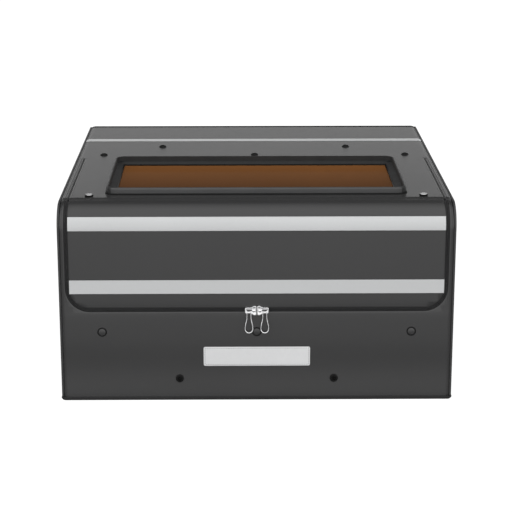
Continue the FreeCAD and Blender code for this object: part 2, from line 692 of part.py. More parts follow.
def pull(side):
    """Wire pull: a pin through the slider's lug, two legs that spread, and a round end."""
    x_mid = side * PULL_X
    drop, neck, end_r = PULL_DROP, PULL_NECK_HALF, PULL_END_R
    # The leg leaves the pin's end and touches the round end's circle, whose centre is drop below.
    reach = math.hypot(neck, drop)
    lean = math.asin(end_r / reach) - math.atan2(neck, drop)
    touch_x, touch_z = end_r * math.cos(lean), end_r * math.sin(lean)
    legs = []
    for way in (-1, 1):
        top = (x_mid + way * neck, PIN_Y, PIN_Z)
        foot = (x_mid + way * touch_x, PIN_Y, PIN_Z - drop + touch_z)
        legs += [rod(PULL_WIRE_R, top, foot), Part.makeSphere(PULL_WIRE_R, Vector(*top))]
    left = (x_mid - touch_x, PIN_Y, PIN_Z - drop + touch_z)
    right = (x_mid + touch_x, PIN_Y, PIN_Z - drop + touch_z)
    bottom = (x_mid, PIN_Y, PIN_Z - drop - end_r)
    down = Vector(-math.sin(lean), 0, -math.cos(lean))
    bow = swept([arc(left, bottom, right)], PULL_WIRE_R, left, down)
    pin = rod(PULL_WIRE_R, (x_mid - neck, PIN_Y, PIN_Z), (x_mid + neck, PIN_Y, PIN_Z))
    return fuse([pin, bow] + legs)


def make_sliders():
    """Left and right sliders, which meet nose to nose at the middle of the zip."""
    for name, side in (("left", -1), ("right", 1)):
        export("zip_slider_" + name, [slider(side)])
        export("zip_pull_" + name, [pull(side)])


# ---------------------------------------------------------------- exhaust fan

def blade(inner_r, outer_r, chord, thickness, pitch):
    """Fan blade along +X, pitched about its length, for a rotor that turns about Y."""
    flat = box(inner_r, outer_r, -chord / 2, chord / 2, -thickness / 2, thickness / 2)
    return turned(flat, (1, 0, 0), pitch)


def make_exhaust_fan():
    """Square fan inside the rear wall, its guard, its rotor and the duct spigot outside."""
    half = FAN_SIZE / 2
    y0, y1 = REAR_IN - FAN_T, REAR_IN
    centre = (FAN_X, 0.0, FAN_Z)
    spider_t = 6.0
    case = box(-half, half, y0, y1, -half, half)
    upright = [e for e in case.Edges if abs(e.Vertexes[0].Y - e.Vertexes[1].Y) > 1.0]
    case = case.makeFillet(6.0, upright).cut(rod(FAN_BORE_R, (0, y0 - 1.0, 0), (0, y1 + 1.0, 0)))
    struts = [rod(FAN_HUB_R - 2.0, (0, y1 - spider_t, 0), (0, y1, 0))]
    arm = box(0.0, FAN_BORE_R + 1.0, y1 - spider_t, y1, -2.5, 2.5)
    struts += [turned(arm, (0, 1, 0), 30 + 120 * i) for i in range(3)]
    struts.append(rod(FAN_AXLE_R, (0, y0 + 8.0, 0), (0, y1 - spider_t, 0)))
    export("fan_housing", [moved(fuse([case] + struts), *centre)])

    hub_front, hub_back = y0 + 5.0, y1 - spider_t - 1.5
    hub = rod(FAN_HUB_R, (0, hub_front, 0), (0, hub_back, 0))
    middle = (hub_front + hub_back) / 2
    one = moved(blade(FAN_HUB_R - 1.0, FAN_BORE_R - FAN_TIP_CLEAR, 24.0, 2.0, 42.0), 0, middle, 0)
    blades = [turned(one, (0, 1, 0), 360.0 * i / FAN_BLADES) for i in range(FAN_BLADES)]
    bore = rod(FAN_AXLE_R + FAN_AXLE_CLEAR, (0, y0 + 7.5, 0), (0, y1, 0))
    export("fan_rotor", [moved(fuse([hub] + blades).cut(bore), *centre)])

    wires = []
    for radius in GUARD_RINGS:
        ring = rod(radius + GUARD_WIRE / 2, (0, y0 - GUARD_WIRE, 0), (0, y0, 0))
        wires.append(ring.cut(rod(radius - GUARD_WIRE / 2, (0, y0 - 5.0, 0), (0, y0 + 5.0, 0))))
    spoke = box(GUARD_RINGS[0], half, y0 - GUARD_WIRE, y0, -GUARD_WIRE / 2, GUARD_WIRE / 2)
    wires += [turned(spoke, (0, 1, 0), 45 + 90 * i) for i in range(4)]
    export("fan_guard", [moved(fuse(wires), *centre)])

    f = DUCT_FLANGE / 2
    flange = box(-f, f, REAR, REAR + DUCT_FLANGE_T, -f, f)
    upright = [e for e in flange.Edges if abs(e.Vertexes[0].Y - e.Vertexes[1].Y) > 1.0]
    end = REAR + DUCT_FLANGE_T + DUCT_LEN
    tube = rod(DUCT_R, (0, REAR, 0), (0, end, 0))
    spigot = fuse([flange.makeFillet(10.0, upright), tube])
    spigot = spigot.cut(rod(DUCT_R - DUCT_WALL, (0, REAR - 1.0, 0), (0, end + 1.0, 0)))
    export("duct_spigot", [moved(spigot, *centre)])


# ---------------------------------------------------------------- engraver frame

def make_engraver_frame():
    """Side and cross rails, corner feet, linear guides and the slatted bed."""
    mid_z = RAIL_Z + RAIL_H / 2
    side = slotted_bar("Y", 2 * RAIL_HALF_LEN, RAIL_W, RAIL_H, (RAIL_X, 0.0, mid_z))
    export("side_rails", [side, mirrored(side)])
    cross_y = RAIL_HALF_LEN - RAIL_W / 2
    crosses = [slotted_bar("X", 2 * RAIL_INNER, RAIL_W, RAIL_H, (0.0, y, mid_z))
               for y in (-cross_y, cross_y)]
    export("cross_rails", crosses)

    feet = []
    for end in (-1, 1):
        near, far = sorted((end * RAIL_HALF_LEN, end * (RAIL_HALF_LEN + FOOT_LEN)))
        leg = box(RAIL_X - FOOT_W / 2, RAIL_X + FOOT_W / 2, near, far, FLOOR, RAIL_TOP + FOOT_RISE)
        rounded = [e for e in leg.Edges if abs(e.Vertexes[0].Z - e.Vertexes[1].Z) > 1.0]
        leg = leg.makeFillet(5.0, rounded)
        sole = box(RAIL_X - FOOT_W / 2, RAIL_X + FOOT_W / 2,
                   near - (FOOT_LEN if end > 0 else 0), far + (FOOT_LEN if end < 0 else 0),
                   FLOOR, FLOOR + 10.0)
        feet += [fuse([leg, sole]), mirrored(fuse([leg, sole]))]
    export("engraver_feet", feet)

    reach = RAIL_HALF_LEN - GUIDE_END
    guide = box(RAIL_X - GUIDE_W / 2, RAIL_X + GUIDE_W / 2, -reach, reach, RAIL_TOP, RAIL_TOP + GUIDE_H)
    export("y_guides", [guide, mirrored(guide)])

    w = RAIL_INNER - BED_SIDE_GAP
    d = RAIL_HALF_LEN - RAIL_W - BED_END_GAP
    wi, di = w - BED_BORDER, d - BED_BORDER
    y = BED_BACK_SHIFT
    border = box(-w, w, y - d, y + d, FLOOR, FLOOR + BED_H)
    border = border.cut(box(-wi, wi, y - di, y + di, FLOOR - 1.0, FLOOR + BED_H + 1.0))
    pitch = 2 * di / (BED_SLATS + 1)
    slats = [box(-wi - 1.0, wi + 1.0, y - di + pitch * i - BED_SLAT_T / 2,
                 y - di + pitch * i + BED_SLAT_T / 2, FLOOR + 2.0, FLOOR + BED_H)
             for i in range(1, BED_SLATS + 1)]
    export("work_bed", [fuse([border] + slats)])


# ---------------------------------------------------------------- drives

def belt_loop(axis, centre_a, centre_b):
    """Toothed belt as a plain loop round two pulleys whose axes run along X or Y."""
    half = BELT_W / 2
    loops = []
    for radius in (BELT_OUT_R, BELT_IN_R):
        ends = []
        for c in (centre_a, centre_b):
            shift = (half, 0, 0) if axis == "X" else (0, half, 0)
            start = tuple(a - s for a, s in zip(c, shift))
            end = tuple(a + s for a, s in zip(c, shift))
            ends.append(rod(radius, start, end))
        if axis == "X":
            run = box(centre_a[0] - half, centre_a[0] + half, centre_a[1], centre_b[1],
                      centre_a[2] - radius, centre_a[2] + radius)
        else:
            run = box(centre_a[0], centre_b[0], centre_a[1] - half, centre_a[1] + half,
                      centre_a[2] - radius, centre_a[2] + radius)
        loops.append(fuse(ends + [run]))
    return loops[0].cut(loops[1])


def pulley(axis, centre, bore):
    """Plain pulley, bored unless bore is zero."""
    half = PULLEY_W / 2
    shift = Vector(half, 0, 0) if axis == "X" else Vector(0, half, 0)
    start, end = Vector(*centre) - shift, Vector(*centre) + shift
    wheel = rod(PULLEY_R, tuple(start), tuple(end))
    if bore:
        wheel = wheel.cut(rod(bore, tuple(start - shift), tuple(end + shift)))
    return wheel


def motor(x0, x1, y0, y1, z0, z1, along):
    """Square stepper motor with bevelled long edges. along is 0, 1 or 2 for X, Y or Z."""
    block = box(x0, x1, y0, y1, z0, z1)
    long_edges = [e for e in block.Edges
                  if abs(e.Vertexes[0].Point[along] - e.Vertexes[1].Point[along]) > 1.0]
    return block.makeChamfer(4.0, long_edges)


def make_y_drive():
    """Shaft across the rear with two pulleys, its motor and bearings, front idlers and belts."""
    y, z = Y_AXLE_Y, Y_AXLE_Z
    shaft = rod(Y_SHAFT_R, (-RAIL_INNER + 1.0, y, z), (RAIL_INNER - 1.0, y, z))
    wheels = [pulley("X", (side * Y_BELT_X, y, z), 0) for side in (-1, 1)]
    export("y_drive_shaft", [fuse([shaft] + wheels)])

    half = MOTOR_SIZE / 2
    body = motor(Y_MOTOR_X - MOTOR_LEN / 2, Y_MOTOR_X + MOTOR_LEN / 2, y - half, y + half,
                 z - half, z + half, 0)
    rear_rail = RAIL_HALF_LEN - RAIL_W
    plate = box(Y_MOTOR_X - MOTOR_LEN / 2, Y_MOTOR_X + MOTOR_LEN / 2, y + half - 1.0, rear_rail,
                z - half + 5.0, z + half - 8.0)
    hole = rod(Y_SHAFT_R + 0.1, (Y_MOTOR_X - 60.0, y, z), (Y_MOTOR_X + 60.0, y, z))
    export("y_motor", [fuse([body, plate]).cut(hole)])

    supports = []
    for side in (-1, 1):
        wall = side * RAIL_INNER
        face = side * (Y_BELT_X + PULLEY_W / 2 + 1.0)
        bearing = rod(BEARING_R, (face, y, z), (wall, y, z))
        supports.append(bearing.cut(rod(Y_SHAFT_R + SHAFT_CLEAR, (0, y, z), (2 * wall, y, z))))
        inner_end = side * (Y_BELT_X - PULLEY_W / 2 - 2.0)
        pin = rod(IDLER_PIN_R, (inner_end, -y, z), (wall, -y, z))
        collar = rod(IDLER_PIN_R + 2.5, (face, -y, z), (wall, -y, z))
        supports.append(fuse([pin, collar]))
        name = "y_idler_left" if side < 0 else "y_idler_right"
        export(name, [pulley("X", (side * Y_BELT_X, -y, z), IDLER_PIN_R + SHAFT_CLEAR)])
    export("axle_supports", supports)
    belts = [belt_loop("X", (side * Y_BELT_X, -y, z), (side * Y_BELT_X, y, z)) for side in (-1, 1)]
    export("y_belts", belts)


def make_gantry():
    """Beam on two end plates with guide blocks, its X guide, motor, brackets and belt."""
    y = GANTRY_Y
    beam = slotted_bar("X", 2 * BEAM_HALF_LEN, RAIL_W, RAIL_H, (0.0, y, BEAM_Z + RAIL_H / 2))
    export("gantry_beam", [beam])

    block_top = BEAM_Z - END_PLATE_T
    block_low = block_top - BLOCK_H
    block = box(RAIL_X - BLOCK_W / 2, RAIL_X + BLOCK_W / 2, y - BLOCK_LEN / 2, y + BLOCK_LEN / 2,
                block_low, block_top)
    half_groove = GUIDE_W / 2 + GUIDE_CLEAR
    groove = box(RAIL_X - half_groove, RAIL_X + half_groove, y - BLOCK_LEN, y + BLOCK_LEN,
                 block_low - 1.0, RAIL_TOP + GUIDE_H + GUIDE_CLEAR)
    block = block.cut(groove)
    export("guide_blocks", [block, mirrored(block)])

    clamp_z = Y_AXLE_Z + BELT_OUT_R + 0.5
    plate_half = 32.0
    foot = box(RAIL_X - 20.0, BEAM_HALF_LEN + END_PLATE_T, y - plate_half, y + plate_half,
               block_top, BEAM_Z)
    cheek = box(BEAM_HALF_LEN, BEAM_HALF_LEN + END_PLATE_T, y - plate_half, y + RAIL_W / 2,
                block_top, BEAM_TOP)
    arm = box(Y_BELT_X - 5.0, RAIL_X - 19.0, y - CLAMP_HALF, y + CLAMP_HALF, block_top, BEAM_Z)
    clamp = box(Y_BELT_X - 5.0, Y_BELT_X + 5.0, y - CLAMP_HALF, y + CLAMP_HALF, clamp_z, BEAM_Z)
    end = fuse([foot, cheek, arm, clamp])
    export("gantry_end_plates", [end, mirrored(end)])

    reach = BEAM_HALF_LEN - GUIDE_END
    mid_z = BEAM_Z + RAIL_H / 2
    guide = box(-reach, reach, GUIDE_FACE_Y - GUIDE_H, GUIDE_FACE_Y, mid_z - GUIDE_W / 2,
                mid_z + GUIDE_W / 2)
    export("x_guide", [guide])


def make_x_drive():
    """Motor and pulley at the beam's left end, idler at its right end, and the belt above it."""
    y, z = GANTRY_Y, X_AXLE_Z
    half = MOTOR_SIZE / 2
    back = y + RAIL_W / 2
    left = -X_AXLE_X
    body = motor(left - half, left + half, MOTOR_FACE_Y, MOTOR_FACE_Y + MOTOR_LEN, z - half, z + half, 1)
    shaft_hole = rod(IDLER_PIN_R + 0.1, (left, y, z), (left, MOTOR_FACE_Y + 12.0, z))
    export("x_motor", [body.cut(shaft_hole)])

    low = BEAM_Z + 4.0
    plate = box(left - half, left + half, back, MOTOR_FACE_Y, low, z + half)
    plate = plate.cut(rod(11.5, (left, back - 1.0, z), (left, MOTOR_FACE_Y + 1.0, z)))
    right_plate = box(X_AXLE_X - 12.0, X_AXLE_X + 12.0, back, MOTOR_FACE_Y, low, z + 10.0)
    pin = rod(IDLER_PIN_R, (X_AXLE_X, y - 6.0, z), (X_AXLE_X, MOTOR_FACE_Y, z))
    collar = rod(IDLER_PIN_R + 2.5, (X_AXLE_X, y + PULLEY_W / 2 + 0.5, z), (X_AXLE_X, back, z))
    export("gantry_brackets", [plate, fuse([right_plate, pin, collar])])

    stub = rod(IDLER_PIN_R, (left, y - 5.0, z), (left, MOTOR_FACE_Y + 10.0, z))
    export("x_pulley", [fuse([pulley("Y", (left, y, z), 0), stub])])
    export("x_idler", [pulley("Y", (X_AXLE_X, y, z), IDLER_PIN_R + SHAFT_CLEAR)])
    export("x_belt", [belt_loop("Y", (left, y, z), (X_AXLE_X, y, z))])


def make_carriage():
    """Block that rides the X guide, its plate, and the arm that holds the X belt."""
    x, w = CARRIAGE_X, CARRIAGE_BLOCK_HALF
    mid_z = BEAM_Z + RAIL_H / 2
    block = box(x - w, x + w, CARRIAGE_BACK_Y, GUIDE_FACE_Y - 2.0, mid_z - BLOCK_W / 2, mid_z + BLOCK_W / 2)
    half = GUIDE_W / 2 + GUIDE_CLEAR
    block = block.cut(box(x - 50.0, x + 50.0, GUIDE_FACE_Y - GUIDE_H - GUIDE_CLEAR, GUIDE_FACE_Y,
                          mid_z - half, mid_z + half))
    plate = box(x - CARRIAGE_W / 2, x + CARRIAGE_W / 2, CARRIAGE_FRONT_Y, CARRIAGE_BACK_Y, *CARRIAGE_Z)
    arm_z = X_AXLE_Z + BELT_OUT_R + 0.6
    riser = box(x - 12.0, x + 12.0, CARRIAGE_FRONT_Y, CARRIAGE_BACK_Y, CARRIAGE_Z[1] - 1.0, arm_z + 3.0)
    arm = box(x - 12.0, x + 12.0, CARRIAGE_FRONT_Y, GANTRY_Y + BELT_W / 2 + 1.0, arm_z, arm_z + 3.0)
    export("carriage", [fuse([block, plate, riser, arm])])


def make_laser():
    """Finned laser module with its nozzle and fan frame, and the fan's rotor."""
    x = CARRIAGE_X
    w = LASER_W / 2
    low, high = LASER_Z
    y1 = LASER_BACK_Y
    y0 = y1 - LASER_D
    y_mid = (y0 + y1) / 2
    body = box(x - w, x + w, y0, y1, low, high - LASER_FAN_H)
    pitch = LASER_W / LASER_FINS
    slots = [box(x - w + pitch * (i + 0.35), x - w + pitch * (i + 0.75), y0 - 1.0, y0 + 9.0,
                 low + 26.0, high) for i in range(LASER_FINS)]
    body = body.cut(slots)
    shroud = box(x - w, x + w, y0, y1, high - LASER_FAN_H, high)
    shroud = shroud.cut(rod(LASER_FAN_R + 1.2, (x, y_mid, high - LASER_FAN_H), (x, y_mid, high + 1.0)))
    axle = rod(1.5, (x, y_mid, high - LASER_FAN_H - 1.0), (x, y_mid, high - 2.0))
    nozzle = Part.makeCone(NOZZLE_R * 0.6, NOZZLE_R, NOZZLE_LEN, Vector(x, y_mid, low - NOZZLE_LEN))
    export("laser_module", [fuse([body, shroud, axle, nozzle])])

    base = high - LASER_FAN_H + 1.0
    hub = rod(LASER_FAN_HUB_R, (x, y_mid, base), (x, y_mid, high - 1.0))
    one = turned(blade(LASER_FAN_HUB_R - 1.0, LASER_FAN_R, 6.0, 1.2, 0.0), (1, 0, 0), 40)
    mid_z = (base + high - 1.0) / 2
    blades = [moved(turned(one, (0, 0, 1), 72.0 * i), x, y_mid, mid_z) for i in range(5)]
    bore = rod(1.5 + SHAFT_CLEAR, (x, y_mid, base - 1.0), (x, y_mid, high - 1.6))
    export("laser_fan", [fuse([hub] + blades).cut(bore)])


def make_controls():
    """Control box on the front rail, with its power button and stop button."""
    x0 = -RAIL_X + CONTROL_FROM_RAIL
    x1 = x0 + CONTROL_W
    y1 = -RAIL_HALF_LEN
    y0 = y1 - CONTROL_D
    top = RAIL_Z + CONTROL_H
    y_mid = (y0 + y1) / 2
    case = box(x0, x1, y0, y1, RAIL_Z, top)
    case = case.makeFillet(3.0, [e for e in case.Edges if all(v.Y < y0 + 1.0 for v in e.Vertexes)])
    power_x, stop_x = x1 - 24.0, x0 + 30.0
    for x, radius in ((power_x, POWER_R), (stop_x, STOP_STEM_R)):
        case = case.cut(rod(radius + BUTTON_CLEAR, (x, y_mid, top - BUTTON_DEPTH), (x, y_mid, top + 1.0)))
    export("control_box", [case])
    low = top - BUTTON_DEPTH + STOP_TRAVEL + 1.0
    export("power_button", [rod(POWER_R, (power_x, y_mid, low), (power_x, y_mid, top + POWER_PROUD))])
    head_z = top + STOP_TRAVEL + 1.0
    stem = rod(STOP_STEM_R, (stop_x, y_mid, low), (stop_x, y_mid, head_z + 1.0))
    head = rod(STOP_HEAD_R, (stop_x, y_mid, head_z), (stop_x, y_mid, head_z + STOP_HEAD_H))
    rim = [e for e in head.Edges if len(e.Vertexes) == 1 and e.Vertexes[0].Z > head_z + 1.0]
    export("stop_button", [fuse([stem, head.makeFillet(3.0, rim)])])


os.makedirs("parts", exist_ok=True)
make_fixed_shell()
make_trim()
make_zip()
make_door_flap()
make_lid()
make_window()
make_snaps()
make_rod_frame()
make_sliders()
make_exhaust_fan()
make_engraver_frame()
make_y_drive()
make_gantry()
make_x_drive()
make_carriage()
make_laser()
make_controls()
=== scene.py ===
"""Looks of a desktop laser cutter: a zip-up, cloth-covered enclosure with a gantry engraver inside.

Every cloth board is cut flat, given its seams, and then folded over the box. Flat coordinates are
x across, s along the cloth from the foot of the front wall, and t outwards from its face.
All lengths are in metres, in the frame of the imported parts.
"""

import json
import logging
import math
from dataclasses import dataclass, field
from enum import Enum
from typing import Callable, Iterable, Sequence

import bmesh
import bpy
from mathutils import Matrix, Vector, noise

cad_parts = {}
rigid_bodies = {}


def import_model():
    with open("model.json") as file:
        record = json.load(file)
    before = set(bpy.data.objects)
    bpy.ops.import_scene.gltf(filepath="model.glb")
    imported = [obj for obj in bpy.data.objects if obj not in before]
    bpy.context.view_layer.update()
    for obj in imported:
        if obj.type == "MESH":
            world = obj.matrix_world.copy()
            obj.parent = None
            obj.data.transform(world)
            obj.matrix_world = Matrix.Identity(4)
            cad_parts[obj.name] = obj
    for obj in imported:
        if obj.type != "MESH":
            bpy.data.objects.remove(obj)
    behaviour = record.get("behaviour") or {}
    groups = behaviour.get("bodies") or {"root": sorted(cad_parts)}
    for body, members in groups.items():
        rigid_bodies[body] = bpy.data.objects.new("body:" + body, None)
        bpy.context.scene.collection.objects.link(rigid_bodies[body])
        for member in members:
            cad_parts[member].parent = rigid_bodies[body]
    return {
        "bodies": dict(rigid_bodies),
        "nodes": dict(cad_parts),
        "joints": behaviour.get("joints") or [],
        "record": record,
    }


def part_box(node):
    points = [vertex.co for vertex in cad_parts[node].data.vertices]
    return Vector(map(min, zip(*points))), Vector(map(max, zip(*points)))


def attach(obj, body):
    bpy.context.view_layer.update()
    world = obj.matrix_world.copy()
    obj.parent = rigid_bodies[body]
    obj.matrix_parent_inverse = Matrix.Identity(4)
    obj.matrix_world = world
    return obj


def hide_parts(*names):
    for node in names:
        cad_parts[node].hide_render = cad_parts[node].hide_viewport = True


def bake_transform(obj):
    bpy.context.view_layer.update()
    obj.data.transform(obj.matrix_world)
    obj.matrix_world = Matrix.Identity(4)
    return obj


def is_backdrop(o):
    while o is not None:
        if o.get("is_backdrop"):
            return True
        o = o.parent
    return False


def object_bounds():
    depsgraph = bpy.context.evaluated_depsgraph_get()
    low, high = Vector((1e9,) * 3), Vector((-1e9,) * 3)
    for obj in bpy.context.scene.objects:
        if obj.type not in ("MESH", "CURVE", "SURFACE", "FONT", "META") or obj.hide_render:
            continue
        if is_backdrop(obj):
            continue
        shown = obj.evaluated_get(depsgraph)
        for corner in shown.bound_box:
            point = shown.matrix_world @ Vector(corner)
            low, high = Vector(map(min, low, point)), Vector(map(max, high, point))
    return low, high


LOG = logging.getLogger("laser_cutter")
MM = 0.001
TOUCH = 0.02 * MM            # places nearer than this count as the same
PATTERN = "pattern"          # name of the UV map that holds flat coordinates
Point2 = tuple[float, float]


class Axis(Enum):
    """Direction that a round piece points in."""

    X = (0.0, math.pi / 2, 0.0)
    Y = (math.pi / 2, 0.0, 0.0)
    Z = (0.0, 0.0, 0.0)


class Side(Enum):
    """Left or right of the middle plane."""

    LEFT = -1
    RIGHT = 1


# ------------------------------------------------------------------ workbench


class Workpiece:
    """One mesh object, and the operators that shape it."""

    def __init__(self, obj: bpy.types.Object) -> None:
        """Takes over an object.

        Args:
            obj: a mesh object.
        """
        self.obj = obj

    @staticmethod
    def deselect() -> None:
        """Clears the selection, which every operator acts on."""
        for other in list(bpy.context.selected_objects):
            other.select_set(False)
        bpy.context.view_layer.objects.active = None

    @classmethod
    def _started(cls, name: str) -> "Workpiece":
        """Names the primitive just added and puts its place into its mesh."""
        obj = bpy.context.object
        obj.name = name
        obj.data.name = name
        bpy.ops.object.transform_apply(location=True, rotation=True, scale=True)
        return cls(obj)

    @classmethod
    def block(cls, name: str, low: Sequence[float], high: Sequence[float]) -> "Workpiece":
        """Starts a piece as a block between two corners."""
        cls.deselect()
        low_v, high_v = Vector(low), Vector(high)
        bpy.ops.mesh.primitive_cube_add(size=1.0, location=(low_v + high_v) / 2)
        bpy.context.object.scale = high_v - low_v
        return cls._started(name)

    @classmethod
    def disc(cls, name: str, centre: Sequence[float], radius: float, depth: float,
             axis: Axis, segments: int = 32) -> "Workpiece":
        """Starts a piece as a round block about its centre."""
        cls.deselect()
        bpy.ops.mesh.primitive_cylinder_add(vertices=segments, radius=radius, depth=depth,
                                            location=centre, rotation=axis.value)
        return cls._started(name)

    @classmethod
    def ring(cls, name: str, centre: Sequence[float], radius: float, wire: float, axis: Axis,
             segments: int = 40) -> "Workpiece":
        """Starts a piece as a round ring of wire."""
        cls.deselect()
        bpy.ops.mesh.primitive_torus_add(major_radius=radius, minor_radius=wire, location=centre,
                                         rotation=axis.value, major_segments=segments, minor_segments=10)
        return cls._started(name)

    @classmethod
    def ball(cls, name: str, centre: Sequence[float], size: Sequence[float], segments: int = 8,
             rings: int = 5) -> "Workpiece":
        """Starts a piece as a stretched ball."""
        cls.deselect()
        bpy.ops.mesh.primitive_uv_sphere_add(segments=segments, ring_count=rings, radius=0.5, location=centre)
        bpy.context.object.scale = size
        return cls._started(name)

    @classmethod
    def wire(cls, name: str, points: Sequence[Vector], radius: float, closed: bool,
             sides: int = 4) -> "Workpiece":
        """Makes a round wire along points.

        Args:
            name: the piece's name.
            points: the line that the wire follows.
            radius: the wire's radius.
            closed: whether the wire's ends meet.
            sides: steps in a quarter of the wire's section.

        Returns:
            The wire as a mesh.
        """
        curve = bpy.data.curves.new(name, "CURVE")
        curve.dimensions = "3D"
        curve.bevel_depth = radius
        curve.bevel_resolution = sides
        curve.use_fill_caps = True
        spline = curve.splines.new("POLY")
        spline.points.add(len(points) - 1)
        for knot, place in zip(spline.points, points):
            knot.co = (*place, 1.0)
        spline.use_cyclic_u = closed
        obj = bpy.data.objects.new(name, curve)
        bpy.context.scene.collection.objects.link(obj)
        cls.deselect()
        obj.select_set(True)
        bpy.context.view_layer.objects.active = obj
        bpy.ops.object.convert(target="MESH")
        piece = cls(bpy.context.object)
        piece.smooth(60.0)
        return piece

    @classmethod
    def sheet(cls, name: str, corners: Sequence[Vector]) -> "Workpiece":
        """Starts a piece as one flat face through its corners."""
        cls.deselect()
        bpy.ops.mesh.primitive_circle_add(vertices=len(corners), radius=MM, fill_type="NGON")
        piece = cls._started(name)
        for vertex, corner in zip(piece.obj.data.vertices, corners):
            vertex.co = corner
        piece.obj.data.update()
        return piece

    def carry(self, moves: Sequence[Vector | Point2], steps: int = 14) -> "Workpiece":
        """Carries a sheet along a flat route, which makes a strip with closed ends.

        Args:
            moves: a vector for each straight run, and a flat centre for each quarter turn.
            steps: steps in a quarter turn.

        Returns:
            The strip.
        """
        self.edit()
        bpy.ops.mesh.select_mode(type="FACE")
        bpy.ops.mesh.select_all(action="SELECT")
        for move in moves:
            if isinstance(move, Vector):
                bpy.ops.mesh.extrude_region_move(TRANSFORM_OT_translate={"value": move})
            else:
                bpy.ops.mesh.spin(steps=steps, dupli=False, angle=-math.pi / 2,
                                  center=(*move, 0.0), axis=(0.0, 0.0, 1.0))
        self.leave()
        return self

    def hold(self) -> None:
        """Makes this object the only selected one."""
        self.deselect()
        self.obj.select_set(True)
        bpy.context.view_layer.objects.active = self.obj

    def edit(self) -> bmesh.types.BMesh:
        """Goes into edit mode with nothing selected, and returns the mesh being edited."""
        self.hold()
        bpy.ops.object.mode_set(mode="EDIT")
        bpy.ops.mesh.select_all(action="DESELECT")
        return bmesh.from_edit_mesh(self.obj.data)

    @staticmethod
    def leave() -> None:
        """Leaves edit mode."""
        bpy.ops.object.mode_set(mode="OBJECT")

    def pick_edges(self, test: Callable[[bmesh.types.BMEdge], bool]) -> int:
        """Enters edit mode and selects the edges that pass a test; returns how many did."""
        mesh = self.edit()
        bpy.ops.mesh.select_mode(type="EDGE")
        found = [edge for edge in mesh.edges if test(edge)]
        for edge in found:
            edge.select_set(True)
        bmesh.update_edit_mesh(self.obj.data)
        return len(found)

    def pick_faces(self, test: Callable[[bmesh.types.BMFace], bool]) -> int:
        """Enters edit mode and selects the faces that pass a test; returns how many did."""
        mesh = self.edit()
        bpy.ops.mesh.select_mode(type="FACE")
        found = [face for face in mesh.faces if test(face)]
        for face in found:
            face.select_set(True)
        bmesh.update_edit_mesh(self.obj.data)
        return len(found)

    def bevel(self, test: Callable[[bmesh.types.BMEdge], bool], width: float, steps: int = 2) -> "Workpiece":
        """Rounds the edges that pass a test."""
        if self.pick_edges(test):
            bpy.ops.mesh.bevel(offset=width, segments=steps, affect="EDGES", clamp_overlap=True)
        self.leave()
        return self

    def sink(self, test: Callable[[bmesh.types.BMFace], bool], inset: float,
             depth: Sequence[float]) -> "Workpiece":
        """Insets the faces that pass a test, and moves them by depth with a wall around them."""
        if self.pick_faces(test):
            bpy.ops.mesh.inset(thickness=inset, depth=0.0)
            bpy.ops.mesh.extrude_region_move(TRANSFORM_OT_translate={"value": depth})
        self.leave()
        return self

    def slice(self, axis: int, places: Iterable[float]) -> "Workpiece":
        """Cuts the mesh across one axis at each place, leaving both sides."""
        self.edit()
        normal = [0.0, 0.0, 0.0]
        normal[axis] = 1.0
        for place in places:
            bpy.ops.mesh.select_all(action="SELECT")
            point = [0.0, 0.0, 0.0]
            point[axis] = place
            bpy.ops.mesh.bisect(plane_co=point, plane_no=normal)
        self.leave()
        return self

    def cut(self, cutter: "Workpiece") -> "Workpiece":
        """Takes another piece's shape out of this one, and removes that piece."""
        self.hold()
        modifier = self.obj.modifiers.new("cut", "BOOLEAN")
        modifier.operation = "DIFFERENCE"
        modifier.solver = "EXACT"
        modifier.object = cutter.obj
        bpy.ops.object.modifier_apply(modifier=modifier.name)
        bpy.data.objects.remove(cutter.obj)
        return self

    def soften(self, width: float, steps: int = 2, angle: float = 35.0) -> "Workpiece":
        """Rounds every edge that is sharper than an angle, in degrees."""
        self.hold()
        modifier = self.obj.modifiers.new("soften", "BEVEL")
        modifier.width = width
        modifier.segments = steps
        modifier.limit_method = "ANGLE"
        modifier.angle_limit = math.radians(angle)
        modifier.harden_normals = False
        bpy.ops.object.modifier_apply(modifier=modifier.name)
        return self

    def reshape(self, place: Callable[[Vector], Vector]) -> "Workpiece":
        """Moves each vertex to where a function puts it."""
        for vertex in self.obj.data.vertices:
            vertex.co = place(vertex.co.copy())
        self.obj.data.update()
        return self

    def outwards(self) -> "Workpiece":
        """Turns every face outwards."""
        self.edit()
        bpy.ops.mesh.select_all(action="SELECT")
        bpy.ops.mesh.normals_make_consistent(inside=False)
        self.leave()
        return self

    def smooth(self, angle: float = 30.0) -> "Workpiece":
        """Shades smoothly across edges flatter than an angle, in degrees."""
        self.hold()
        bpy.ops.object.shade_smooth_by_angle(angle=math.radians(angle))
        return self

    def flat_map(self) -> "Workpiece":
        """Stores flat coordinates as the pattern's UV map, in metres."""
        layer = self.obj.data.uv_layers.new(name=PATTERN)
        for loop in self.obj.data.loops:
            co = self.obj.data.vertices[loop.vertex_index].co
            layer.data[loop.index].uv = (co.x, co.y)
        return self

    def copies(self, name: str, places: Sequence[Matrix]) -> "Workpiece":
        """Copies this piece's mesh to each place as one new piece, and removes the piece itself."""
        mesh = bpy.data.meshes.new(name)
        work = bmesh.new()
        for place in places:
            start = len(work.verts)
            work.from_mesh(self.obj.data)
            work.verts.ensure_lookup_table()
            bmesh.ops.transform(work, matrix=place, verts=work.verts[start:])
        work.to_mesh(mesh)
        work.free()
        obj = bpy.data.objects.new(name, mesh)
        bpy.context.scene.collection.objects.link(obj)
        bpy.data.objects.remove(self.obj)
        return Workpiece(obj)

    def join(self, *others: "Workpiece") -> "Workpiece":
        """Joins other pieces into this one."""
        self.hold()
        for other in others:
            other.obj.select_set(True)
        bpy.ops.object.join()
        return self

